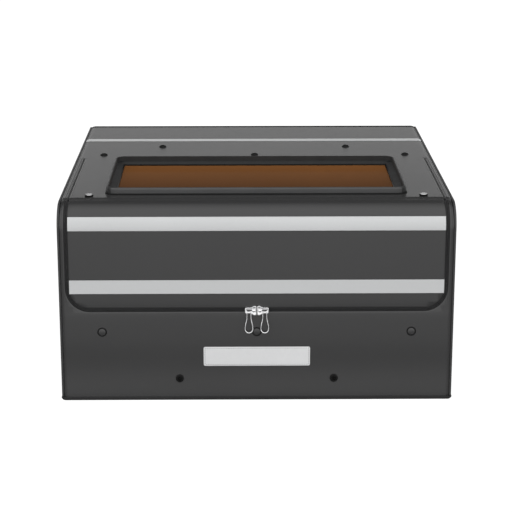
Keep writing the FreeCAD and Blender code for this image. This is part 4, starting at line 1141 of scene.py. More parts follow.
@dataclass
class Enclosure:
    """The fixed cloth walls, with their piping, hem, patch and stitching."""

    at: Places
    paint: dict[str, bpy.types.Material]
    stitching: Stitching = field(default_factory=Stitching)
    seam: float = 3.2 * MM
    body: str = "enclosure"

    def build(self) -> None:
        """Builds every fixed cloth piece."""
        self.wrap_cloth()
        self.gussets()
        self.side_cloths()
        self.base_cloth()
        self.piping()
        self.hem()
        self.rear_binding()
        self.rear_tape()
        self.patch()

    def wrap_cloth(self) -> None:
        """Front, top and rear in one cloth, with the opening for flap and lid."""
        at, wrap = self.at, self.at.wrap
        slit = at.lid_half + 3.0 * MM
        crease, hinge = wrap.s_at(at.crease_y), wrap.s_at(at.hinge_y)
        duct_low, duct_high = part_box("fan_guard")
        middle = (duct_low + duct_high) / 2
        corner = at.zip_corner + at.zip_half - at.flap_half
        board = Board("wrap_cloth", (-at.inner_half, 0.0), (at.inner_half, wrap.foot), at.board,
                      corners=[(side * at.zip_half, at.zip_low, corner) for side in (-1, 1)],
                      openings=[(-at.zip_half, at.zip_low, at.zip_half, crease),
                                (-slit, crease - 0.01 * MM, slit, hinge)],
                      folds=wrap.folds() + self.foot_lines())
        piece = board.make(self._no_dip_at_hinge)
        bore = Workpiece.disc("duct_hole", (middle.x, wrap.rear, middle.z), 48.0 * MM, 30.0 * MM, Axis.Y, 48)
        piece.cut(bore)
        low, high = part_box("cable_grommets")
        radius = (high.z - low.z) / 2
        for side in Side:
            spot = (side.value * (high.x - radius), wrap.front, low.z + radius)
            piece.cut(Workpiece.disc("cable_hole", spot, radius - 2.0 * MM, 30.0 * MM, Axis.Y, 32))
        piece.smooth(35.0)
        piece.dress(self.paint["wall_cloth"], "wall_fabric", self.body,
                    "front_panel", "top_panel", "rear_panel")
        edge = at.inner_half - self.seam
        rows = [straight((side * edge, 10.0 * MM), (side * edge, wrap.foot - 10.0 * MM)) for side in (-1, 1)]
        rows.append(self.at.u_line(at.zip_half - at.flap_half + self.seam, crease - 2.0 * MM))
        rows += [straight((side * (slit + self.seam), crease + 4.0 * MM), (side * (slit + self.seam), hinge))
                 for side in (-1, 1)]
        stitches = self.stitching.row("wrap_stitches", rows, wrap.fold)
        stitches.dress(self.paint["dark_thread"], "trim_fabric", self.body)

    def gussets(self) -> None:
        """Strips of cloth that close the slits beside the lid from below."""
        at, wrap = self.at, self.at.wrap
        strips = []
        for side in Side:
            inner, outer = sorted(side.value * (at.lid_half + gap) for gap in (0.3 * MM, 4.5 * MM))
            strip = Workpiece.block(f"gusset_{side.name.lower()}",
                                    (inner, at.crease_y + 1.0 * MM, wrap.top - 1.9 * MM),
                                    (outer, at.hinge_y - 0.5 * MM, wrap.top - 0.9 * MM))
            strip.slice(1, stations(at.crease_y, at.hinge_y, 15.0 * MM)[1:-1])
            strips.append(strip.soften(0.3 * MM, 2).flat_map().smooth(40.0))
        strips[0].join(strips[1])
        strips[0].obj.name = "slit_gussets"
        strips[0].dress(self.paint["binding_cloth"], "trim_fabric", self.body)

    def foot_lines(self) -> list[float]:
        """Lengths s near both feet of the wrap, where the cloth turns under."""
        rows = [0.4 * MM, 1.4 * MM, 3.0 * MM, 5.0 * MM]
        return rows + [self.at.wrap.foot - row for row in rows]

    def _no_dip_at_hinge(self, co: Vector) -> Vector:
        """Folds a place, with the cloth level along the lid's hinge, where it goes on into the lid."""
        hinge = self.at.wrap.s_at(self.at.hinge_y)
        if co.z > -2.0 * MM and abs(co.x) < self.at.lid_half and 0.0 <= co.y - hinge < 20.0 * MM:
            co.z = 0.0
            co.y = hinge if co.y - hinge < 2.0 * MM else co.y
        return self.at.wrap.fold(co)

    def side_cloths(self) -> None:
        """Left and right walls, rounded where the wrap bends."""
        wrap, at = self.at.wrap, self.at
        inset = 4.0 * MM
        for side in Side:
            node = f"{side.name.lower()}_panel"
            board = Board(f"{side.name.lower()}_cloth", (wrap.front + inset, 0.0),
                          (wrap.rear - inset, wrap.top - inset), at.board,
                          corners=[(wrap.front + inset, wrap.top - inset, wrap.front_bend - inset),
                                   (wrap.rear - inset, wrap.top - inset, wrap.rear_bend - inset)],
                          folds=[0.4 * MM, 1.4 * MM, 3.0 * MM, 5.0 * MM])

            def stand(co: Vector, sign: int = side.value) -> Vector:
                """Stands a flat place on the side of the box, turned under at its foot."""
                reach = at.half_width + co.z
                return Vector((sign * (reach - tucked(co.y, reach)), co.x, co.y))

            board.make(stand).dress(self.paint["wall_cloth"], "wall_fabric", self.body, node)

    def base_cloth(self) -> None:
        """Floor sheet."""
        low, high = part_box("base_panel")
        tuck = 7.5 * MM
        board = Board("base_cloth", (low.x + tuck, low.y), (high.x - tuck, high.y), high.z - low.z,
                      spacing=40.0 * MM, dip=0.2 * MM, wave=0.1 * MM)
        piece = board.make(lambda co: Vector((co.x, co.y, high.z + min(co.z, 0.0))))
        piece.dress(self.paint["floor_cloth"], "base_fabric", self.body, "base_panel")

    def side_line(self, inset: float, low: float) -> list[Vector]:
        """The wrap's outline seen from the side, from the front foot to the rear one, in flat (y, z)."""
        wrap = self.at.wrap
        rf, rb = wrap.front_bend - inset, wrap.rear_bend - inset
        front, rear, top = wrap.front + inset, wrap.rear - inset, wrap.top - inset
        return ([Vector((front, low, 0.0))] + arc_points((front + rf, top - rf), rf, 180.0, 90.0, 16)
                + arc_points((rear - rb, top - rb), rb, 90.0, 0.0, 10) + [Vector((rear, low, 0.0))])

    def piping(self) -> None:
        """Round piping along both side edges, and its stitching."""
        at = self.at
        inset, lean = 3.4 * MM, 2.0 * MM
        pieces = []
        for side in Side:
            line = [Vector((side.value * (at.half_width - lean), p.x, p.y))
                    for p in self.side_line(inset, 6.0 * MM)]
            pieces.append(Workpiece.wire(f"piping_{side.name.lower()}", line, 2.2 * MM, False))
        pieces[0].join(pieces[1])
        pieces[0].obj.name = "edge_piping_cord"
        pieces[0].dress(self.paint["piping_cloth"], "trim_fabric", self.body, "edge_piping")
        rows = []
        for side in Side:
            flat = self.side_line(self.seam + 3.5 * MM, 10.0 * MM)
            spots = [Matrix.Translation((side.value * (at.half_width + 0.1 * MM), place.x, place.y))
                     @ Matrix.Rotation(math.atan2(way.y, way.x), 4, "X")
                     @ Matrix.Rotation(math.pi / 2, 4, "Z")
                     for place, way in spaced(flat, self.stitching.pitch)]
            rows += spots
        unit = Workpiece.ball("stitch", (0.0, 0.0, 0.0), self.stitching.size, 6, 4)
        unit.copies("side_stitches", rows).smooth(60.0).dress(
            self.paint["dark_thread"], "trim_fabric", self.body)

    def hem(self) -> None:
        """Folded binding round the foot."""
        low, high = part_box("hem_binding")
        thick = 1.0 * MM
        outer = Workpiece.block("hem_band", low, high)
        inner = Workpiece.block("hem_inside", (low.x + thick, low.y + thick, low.z - thick),
                                (high.x - thick, high.y - thick, high.z + thick))
        outer.cut(inner)
        outer.bevel(lambda edge: all(v.co.z > high.z - TOUCH for v in edge.verts)
                    and edge.calc_length() > 0.1, 0.45 * MM, 2)
        outer.slice(2, [0.3 * MM, 1.0 * MM, 2.2 * MM, 4.0 * MM])
        outer.reshape(lambda co: Vector((co.x - math.copysign(tucked(co.z, abs(co.x)), co.x), co.y, co.z)))
        outer.flat_map().smooth(40.0)
        outer.dress(self.paint["hem_cloth"], "trim_fabric", self.body, "hem_binding")

    def rear_binding(self) -> None:
        """Flat binding over the seam between top and rear, near-black and without shine; its darkness is
        partly painted shade where the top turns down.
        """
        wrap, half = self.at.wrap, self.at.inner_half
        low, high = wrap.top_end - 5.0 * MM, wrap.top_end + 0.5 * wrap.rear_bend
        strip = Workpiece.block("rear_binding", (-half, low, -0.5 * MM), (half, high, 0.45 * MM))
        strip.slice(1, stations(low, high, 2.0 * MM)[1:-1])
        strip.slice(0, [side * (wrap.edge_from + step * MM)
                        for side in (-1, 1) for step in (0.0, 2.0, 4.0, 6.0)])
        strip.flat_map().reshape(wrap.fold).smooth(40.0).dress(
            self.paint["seam_binding"], "trim_fabric", self.body)

    def rear_tape(self) -> None:
        """Reflective strip across the rear of the top."""
        low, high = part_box("rear_reflective_strip")
        wrap = self.at.wrap
        tape = Tape("rear_tape", (low.x + MM, wrap.s_at(low.y)), (high.x - MM, wrap.s_at(high.y)),
                    high.z - low.z)
        tape.lay(self.paint, wrap.fold, self.body, self.stitching, "rear_reflective_strip")

    def patch(self) -> None:
        """Plain sewn patch low on the front wall."""
        low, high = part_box("label_patch")
        wrap = self.at.wrap
        thick = high.y - low.y
        radius = 3.0 * MM
        board = Board("sewn_patch", (low.x, low.z), (high.x, high.z), thick,
                      corners=[(x, z, radius) for x in (low.x, high.x) for z in (low.z, high.z)],
                      rim=0.4 * MM, dip=0.2 * MM, wave=0.05 * MM, spacing=10.0 * MM,
                      seam_lines=(2.0 * MM, 4.0 * MM))
        board.make(lambda co: wrap.fold(co + Vector((0.0, 0.0, thick)))).dress(
            self.paint["label_cloth"], "label", self.body, "label_patch")
        inset = 2.6 * MM
        line = box_line((low.x + inset, low.z + inset), (high.x - inset, high.z - inset))
        self.stitching.row("patch_stitches", [line], wrap.fold, thick - 0.15 * MM, True).dress(
            self.paint["dark_thread"], "trim_fabric", self.body)


@dataclass
class Tape:
    """A reflective tape on a darker band beneath it, sewn down along both edges; the band shows past both
    edges, partly as painted shade.
    """

    name: str
    low: Point2
    high: Point2
    thickness: float
    # Width by which the dark band shows past each edge of the tape: partly painted shade at the edges.
    backing_edge_shade: float = 1.1 * MM
    stitch_inset: float = 1.2 * MM
    pitch: float = 3.5 * MM
    flat_to: float = 330.0 * MM

    def lay(self, paint: dict[str, bpy.types.Material], place: Callable[[Vector], Vector], body: str,
            stitching: Stitching, *nodes: str) -> None:
        """Lays the tape on the cloth.

        Args:
            paint: materials by name.
            place: puts a flat place where it belongs on the object.
            body: the CAD body that it rides on.
            stitching: the stitches that hold it.
            nodes: CAD nodes that it stands for.
        """
        thin, top = self.thickness, 0.2 * self.thickness
        tape = Workpiece.block(self.name, (*self.low, 0.0), (*self.high, thin))
        tape.bevel(lambda edge: all(v.co.z > thin - TOUCH for v in edge.verts)
                   and abs(edge.verts[0].co.y - edge.verts[1].co.y) < TOUCH, 0.3 * thin, 1)
        self._fit(tape).reshape(place).smooth(40.0).dress(
            paint["reflective_tape"], "reflective", body, *nodes)
        # Dark band under the tape, partly a real band and partly painted shade along the tape's edges.
        back = Workpiece.block(f"{self.name}_backing", (self.low[0], self.low[1] - self.backing_edge_shade, -0.5 * thin),
                               (self.high[0], self.high[1] + self.backing_edge_shade, top))
        self._fit(back).reshape(place).smooth(40.0).dress(paint["binding_cloth"], "trim_fabric", body)
        inset = self.stitch_inset
        ends = self.low[0] + 2 * MM, self.high[0] - 2 * MM
        rows = [straight((ends[0], s), (ends[1], s)) for s in (self.low[1] + inset, self.high[1] - inset)]
        stitching.row(f"{self.name}_stitches", rows, place, thin - 0.15 * MM).dress(
            paint["reflective_tape"], "reflective", body)

    def _fit(self, piece: Workpiece) -> Workpiece:
        """Cuts the strip so that it can follow a bend and the cloth's dip near its ends."""
        rows = stations(self.low[1] - self.backing_edge_shade, self.high[1] + self.backing_edge_shade, self.pitch)[1:-1]
        ends = [x for x in stations(self.low[0], self.high[0], self.pitch)[1:-1] if abs(x) > self.flat_to]
        return piece.slice(1, rows).slice(0, ends).outwards().flat_map()


@dataclass
class Door:
    """Front flap and lid cloths, shaped in place across the crease and up to the hinge."""

    at: Places
    paint: dict[str, bpy.types.Material]
    stitching: Stitching = field(default_factory=Stitching)
    join_y: float = -0.284
    tape_width: float = 25.0 * MM
    seam: float = 3.2 * MM

    def build(self) -> None:
        """Builds flap, lid, their tapes and their stitching."""
        self.flap_cloth()
        self.lid_cloth()
        self.tapes()
        self.stitches()

    def flap_cloth(self) -> None:
        """The flap with the front of the lid, in one cloth that runs across the crease."""
        at, wrap = self.at, self.at.wrap
        crease = wrap.s_at(at.crease_y)
        join = wrap.s_at(self.join_y)
        board = Board("flap_cloth", (-at.flap_half, at.flap_low), (at.flap_half, join), at.board,
                      corners=[(side * at.flap_half, at.flap_low, at.zip_corner) for side in (-1, 1)],
                      folds=[s for s in wrap.folds() if s < join - 3.0 * MM])

        def place(co: Vector) -> Vector:
            """Widens the lid's share a little, keeps the join level, and folds."""
            if co.y > crease:
                grow = min(1.0, (co.y - crease) / (6.0 * MM)) * (at.lid_half - at.flap_half)
                co.x += math.copysign(grow, co.x) if abs(co.x) > at.flap_half - 8.0 * MM else 0.0
            return wrap.fold(level(co, join, at.board))

        piece = board.make(place)
        piece.dress(self.paint["wall_cloth"], "wall_fabric", "lid", "door_flap")
        piece.obj.parent = None
        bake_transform(piece.obj)

    def lid_cloth(self) -> None:
        """The rest of the lid round the window, with fold lines up to its hinge."""
        at, wrap = self.at, self.at.wrap
        join, hinge = wrap.s_at(self.join_y), wrap.s_at(at.hinge_y)
        low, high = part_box("window_frame")
        lip = 7.0 * MM
        hole = (low.x + lip, wrap.s_at(low.y + lip), high.x - lip, wrap.s_at(high.y - lip))
        corner = 9.0 * MM
        board = Board("lid_cloth", (-at.lid_half, join), (at.lid_half, hinge), at.board,
                      corners=[(x, s, corner) for x in (hole[0], hole[2]) for s in (hole[1], hole[3])],
                      openings=[hole], folds=stations(hinge - 26.0 * MM, hinge, 2.0 * MM)[:-1])

        def place(co: Vector) -> Vector:
            """Keeps both joins level, and folds."""
            return wrap.fold(level(level(co, join, at.board), hinge, at.board))

        piece = board.make(place)
        piece.dress(self.paint["wall_cloth"], "wall_fabric", "lid", "lid_panel")
        piece.obj.parent = None
        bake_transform(piece.obj)

    def tapes(self) -> None:
        """The two reflective strips on the flap, placed from the CAD node's two solids."""
        at, wrap = self.at, self.at.wrap
        low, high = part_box("door_reflective_strips")
        half = min(high.x, at.flap_half) - 0.4 * MM
        starts = (low.z, wrap.bend_start - 1.0 * MM)
        for name, start, nodes in zip(("lower_tape", "upper_tape"), starts,
                                      (("door_reflective_strips",), ())):
            Tape(name, (-half, start), (half, start + self.tape_width), 0.5 * MM).lay(
                self.paint, wrap.fold, "flap", self.stitching, *nodes)

    def stitches(self) -> None:
        """Stitch rows along the flap's zip and the lid's sides."""
        at, wrap = self.at, self.at.wrap
        crease, hinge = wrap.s_at(at.crease_y), wrap.s_at(at.hinge_y)
        rows = [at.u_line(-self.seam, crease - 10.0 * MM)]
        self.stitching.row("flap_stitches", rows, wrap.fold, -0.2 * MM).dress(
            self.paint["dark_thread"], "trim_fabric", "flap")
        edge = at.lid_half - self.seam
        rows = [straight((side * edge, crease + 12.0 * MM), (side * edge, hinge - 26.0 * MM))
                for side in (-1, 1)]
        self.stitching.row("lid_stitches", rows, wrap.fold, -0.2 * MM).dress(
            self.paint["dark_thread"], "trim_fabric", "lid")


def level(co: Vector, line: float, thickness: float) -> Vector:
    """Squares a board's edge at a join: no rim and no seam within a few millimetres of it."""
    if abs(co.y - line) < 2.0 * MM:
        co.y = line
        co.z = 0.0 if co.z > -thickness / 2 else -thickness
    elif abs(co.y - line) < 20.0 * MM and co.z > -thickness / 2:
        co.z = 0.0 if abs(co.x) < 0.325 else co.z
    return co


# ------------------------------------------------------------------ zip


@dataclass
class Zip:
    """Tapes, coil, sliders and pulls of the zip."""

    at: Places
    paint: dict[str, bpy.types.Material]
    pitch: float = 2.0 * MM
    tape: float = 1.6 * MM
    bead: float = 0.25 * MM

    def build(self) -> None:
        """Builds the whole zip."""
        self.tapes()
        for side in Side:
            self.slider(side)
            self.eye_recess_shade(side)
            self.pull(side)

    def tapes(self) -> None:
        """Both tapes with their half of the coil."""
        at, wrap = self.at, self.at.wrap
        crease = wrap.s_at(at.crease_y) - 0.3 * MM
        width = at.zip_half - at.flap_half
        middle = width / 2
        face = -(at.board - self.tape) / 2
        gap = 0.2 * MM
        for name, body, node, edge, inner, sign in (
                ("flap_zip_tape", "flap", "door_zipper_tape", 0.0, middle - gap, 1),
                ("wall_zip_tape", "enclosure", "zipper_tape", width, middle + gap, -1)):
            offs = sorted((edge - middle, inner - middle))
            ridge = sorted((inner - middle, inner - middle - sign * 1.2 * MM))
            low, high = face - self.tape, face
            rises = [high + self.bead * (ridge[i] != offs[i]) for i in (0, 1)]
            section = [(offs[0], low), (offs[0], high), (ridge[0], rises[0]),
                       (ridge[1], rises[1]), (offs[1], high), (offs[1], low)]
            self._strip(name, middle, crease, section).reshape(wrap.fold).smooth(25.0).dress(
                self.paint["zip_cloth"], "zip_fabric", body, node)
            tooth = Workpiece.ball("tooth", (0.0, 0.0, 0.0), (1.1 * MM, 1.9 * MM, 0.9 * MM), 6, 4)
            row = at.u_line(middle - sign * 0.85 * MM, crease)
            spots = [upright(place, way, face + 0.25 * MM) for place, way in spaced(row, self.pitch)]
            tooth.copies(f"{name}_coil", spots).reshape(wrap.fold).smooth(60.0).dress(
                self.paint["zip_coil"], "zip_fabric", body)

    def _strip(self, name: str, out: float, top_s: float, section: Sequence[Point2]) -> Workpiece:
        """Carries a section round the zip's U.

        Args:
            name: the piece's name.
            out: distance of the route outside the flap's edge.
            top_s: length s where both ends stop.
            section: the section's corners, each as (distance outwards, t).

        Returns:
            The strip, flat, with its pattern map.
        """
        at = self.at
        half, low, radius = at.flap_half + out, at.flap_low - out, at.zip_corner + out
        turn, wide = low + radius, half - radius
        rise = Vector((0.0, top_s - turn, 0.0))
        piece = Workpiece.sheet(name, [Vector((-half - off, top_s, t)) for off, t in section])
        piece.carry([-rise, (-wide, turn), Vector((2.0 * wide, 0.0, 0.0)), (wide, turn), rise])
        return piece.slice(1, stations(turn, top_s, 4.0 * MM)[1:-1]).outwards().flat_map()

    def slider(self, side: Side) -> None:
        """Cast slider: a waisted body with a raised rim, a ridge, the pull's eye and a rivet."""
        name = side.name.lower()
        low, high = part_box(f"zip_slider_{name}")
        front, back = high.y - 4.6 * MM, high.y
        nose = low.x if side is Side.RIGHT else high.x
        middle = (low.z + high.z) / 2
        piece = Workpiece.block(f"slider_body_{name}", (low.x, front, low.z), (high.x, back, high.z))
        length = high.x - low.x
        cuts = (0.03, 0.08, 0.15, 0.22, 0.30, 0.38, 0.46, 0.56, 0.84, 0.92, 0.97)
        piece.slice(0, [nose + side.value * length * share for share in cuts])

        def waist(co: Vector) -> Vector:
            """Narrows the body from nose to tail, and rounds both ends."""
            run = abs(co.x - nose) / length
            tall = 0.62 + 0.38 * (0.5 + 0.5 * math.cos(math.pi * min(1.0, max(0.0, (run - 0.12) / 0.42))))
            end = min(run / 0.14, (1.0 - run) / 0.14, 1.0)
            trim = 0.74 + 0.26 * math.sqrt(max(0.0, 1.0 - (1.0 - end) ** 2))
            return Vector((co.x, co.y, middle + (co.z - middle) * tall * trim))

        piece.reshape(waist)
        piece.sink(lambda face: face.normal.y < -0.9, 1.5 * MM, (0.0, 1.8 * MM, 0.0))
        piece.soften(0.5 * MM, 3, 50.0).smooth(40.0)
        parts = [piece]
        along = side.value
        pull_low, pull_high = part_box(f"zip_pull_{name}")
        eye_x, pin_z = (pull_low.x + pull_high.x) / 2, pull_high.z - (pull_high.y - pull_low.y) / 2
        eye = [Vector((eye_x + x * MM, front + y * MM, pin_z)) for x, y in
               ((-2.0, 1.0), (-1.7, -0.9), (-1.0, -2.1), (1.0, -2.1), (1.7, -0.9), (2.0, 1.0))]
        ridge = [Vector((nose + along * x * MM, front + y * MM, middle)) for x, y in
                 ((2.0, 0.9), (3.0, 0.0), (5.5, -0.2), (7.6, 0.9))]
        for title, line, centre, tall in (("eye", eye, pin_z, 1.8), ("ridge", ridge, middle, 2.6)):
            bar = Workpiece.wire(f"slider_{title}_{name}", rounded_line(line, 4), 1.0 * MM, False)
            bar.reshape(lambda co, z=centre, share=tall: Vector((co.x, co.y, z + (co.z - z) * share)))
            parts.append(bar)
        spot = nose + along * 4.6 * MM, front + 0.2 * MM, middle - 3.0 * MM
        rivet = Workpiece.disc(f"slider_rivet_{name}", spot, 1.3 * MM, 1.2 * MM, Axis.Y, 16)
        parts.append(rivet.soften(0.3 * MM, 2).smooth(40.0))
        for other in parts[1:]:
            parts[0].join(other)
        parts[0].dress(self.paint["plated_zinc"], "zip_metal", f"{name}_slider", f"zip_slider_{name}")

    def eye_recess_shade(self, side: Side) -> None:
        """Near-black block in the recess under the slider's eye: painted shade."""
        name = side.name.lower()
        low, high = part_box(f"zip_slider_{name}")
        nose = low.x if side is Side.RIGHT else high.x
        front, middle = high.y - 4.6 * MM, (low.z + high.z) / 2
        start, end = sorted((nose + side.value * 7.4 * MM, nose + side.value * 17.4 * MM))
        # Painted shade: a near-black block fills the recess of the plated slider.
        piece = Workpiece.block(f"slider_channel_{name}", (start, front + 0.9 * MM, middle - 1.0 * MM),
                                (end, front + 2.2 * MM, middle + 0.7 * MM))
        piece.bevel(lambda edge: abs(edge.verts[0].co.y - edge.verts[1].co.y) > MM, 0.7 * MM, 3)
        piece.smooth(40.0).dress(self.paint["black_dome"], "zip_metal", f"{name}_slider")

    def pull(self, side: Side) -> None:
        """Wire pull: a closed loop that hangs from the eye and widens into a round end."""
        name = side.name.lower()
        low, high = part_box(f"zip_pull_{name}")
        middle = (low.x + high.x) / 2
        y = (low.y + high.y) / 2
        wire = (high.y - low.y) / 2
        top = high.z - wire
        half_end = (high.x - low.x) / 2 - wire
        centre = low.z + wire + half_end
        neck = 3.6 * MM
        drop = top - centre
        spots = ((neck, 0.0), (neck, 0.28), (neck + 0.4 * MM, 0.45),
                 (half_end - 0.9 * MM, 0.72), (half_end, 0.93))
        right = [Vector((x, y, top - drop * share)) for x, share in spots]
        bottom = [Vector((p.x, y, p.y)) for p in arc_points((0.0, centre), half_end, 0.0, -180.0, 16)]
        left = [Vector((-p.x, p.y, p.z)) for p in reversed(right)]
        ring = rounded_line(right, 5) + bottom[1:-1] + rounded_line(left, 5)
        line = [Vector((middle + p.x, p.y, p.z)) for p in ring]
        Workpiece.wire(f"pull_wire_{name}", line, wire * 0.98, True).dress(
            self.paint["plated_zinc"], "zip_metal", f"{name}_pull", f"zip_pull_{name}")


def rounded_line(points: Sequence[Vector], steps: int) -> list[Vector]:
    """A smooth line through points, by Catmull-Rom steps between them."""
    line = [points[0]]
    count = len(points)
    for i in range(count - 1):
        before, start = points[max(i - 1, 0)], points[i]
        end, after = points[i + 1], points[min(i + 2, count - 1)]
        for k in range(1, steps + 1):
            t = k / steps
            line.append(0.5 * (2 * start + (end - before) * t
                               + (2 * before - 5 * start + 4 * end - after) * t ** 2
                               + (3 * start - before - 3 * end + after) * t ** 3))
    return line


# ------------------------------------------------------------------ window and fittings


@dataclass
class Fittings:
    """Window finishes, snaps, discs and grommets."""

    at: Places
    paint: dict[str, bpy.types.Material]

    def build(self) -> None:
        """Builds the small fittings."""
        self.window()
        self.snaps()
        self.domes()
        self.discs()
        self.grommets()

    def window(self) -> None:
        """Finishes of the window's parts, the seal round its pane, near-black partly as painted shadow, and a
        black cord at the frame's foot that is painted shadow.
        """
        dress_nodes(self.paint["window_plastic"], "window_frame", "window_retainer")
        dress_nodes(self.paint["drawn_steel"], "window_screws")
        dress_nodes(self.paint["amber_sheet"], "window_pane")
        low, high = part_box("window_frame")
        # Seal round the pane, a real part whose near-black colour also stands for the shadow line at the
        # pane's edge: partly painted shadow.
        ring = 17.4 * MM
        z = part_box("window_pane")[1].z + 1.0 * MM
        line = [Vector((p.x, p.y, z))
                for p in box_line((low.x + ring, low.y + ring), (high.x - ring, high.y - ring))]
        Workpiece.wire("window_seal", line, 2.0 * MM, True, 3).dress(
            self.paint["black_dome"], "window_plastic", "lid")
        # Black cord round the frame's foot: painted shadow, standing for the contact shadow there.
        radius, top = 16.0 * MM, self.at.wrap.top + 0.7 * MM
        foot = []
        for x, y, start in ((high.x, high.y, 0.0), (low.x, high.y, 90.0),
                            (low.x, low.y, 180.0), (high.x, low.y, 270.0)):
            centre = (x - math.copysign(radius, x), y + (radius if y == low.y else -radius))
            foot += [Vector((p.x, p.y, top))
                     for p in arc_points(centre, radius + 0.3 * MM, start, start + 90.0, 8)]
        Workpiece.wire("window_gasket", foot, 1.3 * MM, True, 2).dress(
            self.paint["black_dome"], "window_plastic", "lid")

    def snaps(self) -> None:
        """Bright snaps at the lid's front corners: a black washer and a plated cap with a rolled edge."""
        low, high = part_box("lid_snaps")
        top = self.at.wrap.top
        radius = (high.y - low.y) / 2
        y = (low.y + high.y) / 2
        caps, washers = [], []
        for side in Side:
            x = side.value * (high.x - radius)
            washer = Workpiece.disc("snap_washer", (x, y, top + 1.6 * MM), radius, 3.2 * MM, Axis.Z, 40)
            washers.append(washer.soften(0.5 * MM, 3).smooth(40.0))
            cap = Workpiece.disc("snap_cap", (x, y, top + 3.2 * MM), radius * 0.88, 1.0 * MM, Axis.Z, 40)
            cap.sink(lambda face: face.normal.z > 0.9, 1.4 * MM, (0.0, 0.0, -0.25 * MM))
            caps.append(cap.soften(0.35 * MM, 3).smooth(40.0))
        caps[0].join(caps[1])
        washers[0].join(washers[1])
        caps[0].obj.name, washers[0].obj.name = "snap_caps", "snap_washers"
        caps[0].dress(self.paint["plated_zinc"], "snap_metal", "lid", "lid_snaps")
        washers[0].dress(self.paint["black_dome"], "snap_black", "lid")

    def domes(self) -> None:
        """Black domed snaps behind the lid."""
        top = self.at.wrap.top
        low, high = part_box("rear_snaps")
        radius = 7.5 * MM
        wide = high.x - radius
        near, far = low.y + radius, high.y - radius
        inner = 185.0 * MM
        unit = Workpiece.ball("dome", (0.0, 0.0, 0.0), (radius * 1.9, radius * 1.9, 7.6 * MM), 32, 16)
        unit.slice(2, [0.0])
        unit.pick_faces(lambda face: face.calc_center_median().z < -TOUCH)
        bpy.ops.mesh.delete(type="FACE")
        unit.leave()
        washer = Workpiece.disc("dome_washer", (0.0, 0.0, 0.3 * MM), radius, 0.6 * MM, Axis.Z, 40)
        unit.join(washer.soften(0.2 * MM, 2))
        spots = [(-wide, near), (0.0, near), (wide, near), (-inner, far), (inner, far)]
        places = [Matrix.Translation((x, y, top)) for x, y in spots]
        unit.copies("dome_snaps", places).smooth(40.0).dress(
            self.paint["black_dome"], "snap_black", "enclosure", "rear_snaps")

    def discs(self) -> None:
        """Flush cloth-covered discs on the front wall, each in a dark ring."""
        low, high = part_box("front_snap_discs")
        front = self.at.wrap.front
        radius = (high.z - low.z) / 2
        z = (low.z + high.z) / 2
        faces, rings = [], []
        for x in (low.x + radius, 0.0, high.x - radius):
            spot = x, front + 0.3 * MM, z
            face = Workpiece.disc("disc_face", spot, radius - 0.2 * MM, 1.4 * MM, Axis.Y, 40)
            faces.append(face.soften(0.4 * MM, 3).smooth(40.0).flat_map())
            rings.append(Workpiece.ring("disc_ring", spot, radius + 0.5 * MM, 1.35 * MM, Axis.Y))
        for group in (faces, rings):
            for other in group[1:]:
                group[0].join(other)
        faces[0].obj.name, rings[0].obj.name = "disc_faces", "disc_rings"
        faces[0].dress(self.paint["wall_cloth"], "disc", "enclosure", "front_snap_discs")
        rings[0].smooth(60.0).dress(self.paint["black_dome"], "disc", "enclosure")

    def grommets(self) -> None:
        """Finish of the cable grommets, and the slit rubber web that closes each until a cable is put in."""
        dress_nodes(self.paint["black_dome"], "cable_grommets")
        low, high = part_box("cable_grommets")
        z, y = (low.z + high.z) / 2, self.at.wrap.front
        radius = (high.z - low.z) / 2
        webs = []
        for side in Side:
            x = side.value * (high.x - radius)
            web = Workpiece.disc("web", (x, y + 1.4 * MM, z), 5.6 * MM, 1.0 * MM, Axis.Y, 32)
            for span in ((3.4 * MM, 0.25 * MM), (0.25 * MM, 3.4 * MM)):
                web.cut(Workpiece.block("slit", (x - span[0], y - MM, z - span[1]),
                                        (x + span[0], y + 3 * MM, z + span[1])))
            webs.append(web.soften(0.15 * MM, 1).smooth(40.0))
        webs[0].join(webs[1])
        webs[0].obj.name = "grommet_webs"
        webs[0].dress(self.paint["black_dome"], "grommet", "enclosure")


def dress_nodes(material: bpy.types.Material, *names: str) -> None:
    """Gives CAD nodes a finish, and leaves their shape alone."""
    for name in names:
        node = bpy.data.objects[name]
        node.data.materials.clear()
        node.data.materials.append(material)


@dataclass
class Machine:
    """Finishes of the frame, the exhaust and the engraver, whose shapes are the CAD parts."""

    paint: dict[str, bpy.types.Material]

    def build(self) -> None:
        """Dresses every remaining CAD node."""
        for material, nodes in (
                ("white_rod", ("frame_hoops", "frame_cross_rods")),
                ("black_plastic", ("frame_tees", "fan_housing", "fan_rotor", "duct_spigot", "engraver_feet",
                                   "control_box", "laser_fan")),
                ("drawn_steel", ("fan_guard", "y_guides", "x_guide", "guide_blocks", "axle_supports",
                                 "y_drive_shaft")),
                ("dark_anodised", ("side_rails", "cross_rails", "gantry_beam", "gantry_end_plates",
                                   "gantry_brackets", "carriage", "laser_module")),
                ("clear_anodised", ("y_idler_left", "y_idler_right", "x_pulley", "x_idler")),
                ("bed_steel", ("work_bed",)),
                ("black_rubber", ("y_belts", "x_belt")),
                ("black_paint", ("y_motor", "x_motor")),
                ("green_key", ("power_button",)),
                ("red_key", ("stop_button",))):
            dress_nodes(self.paint[material], *nodes)


# ------------------------------------------------------------------ studio


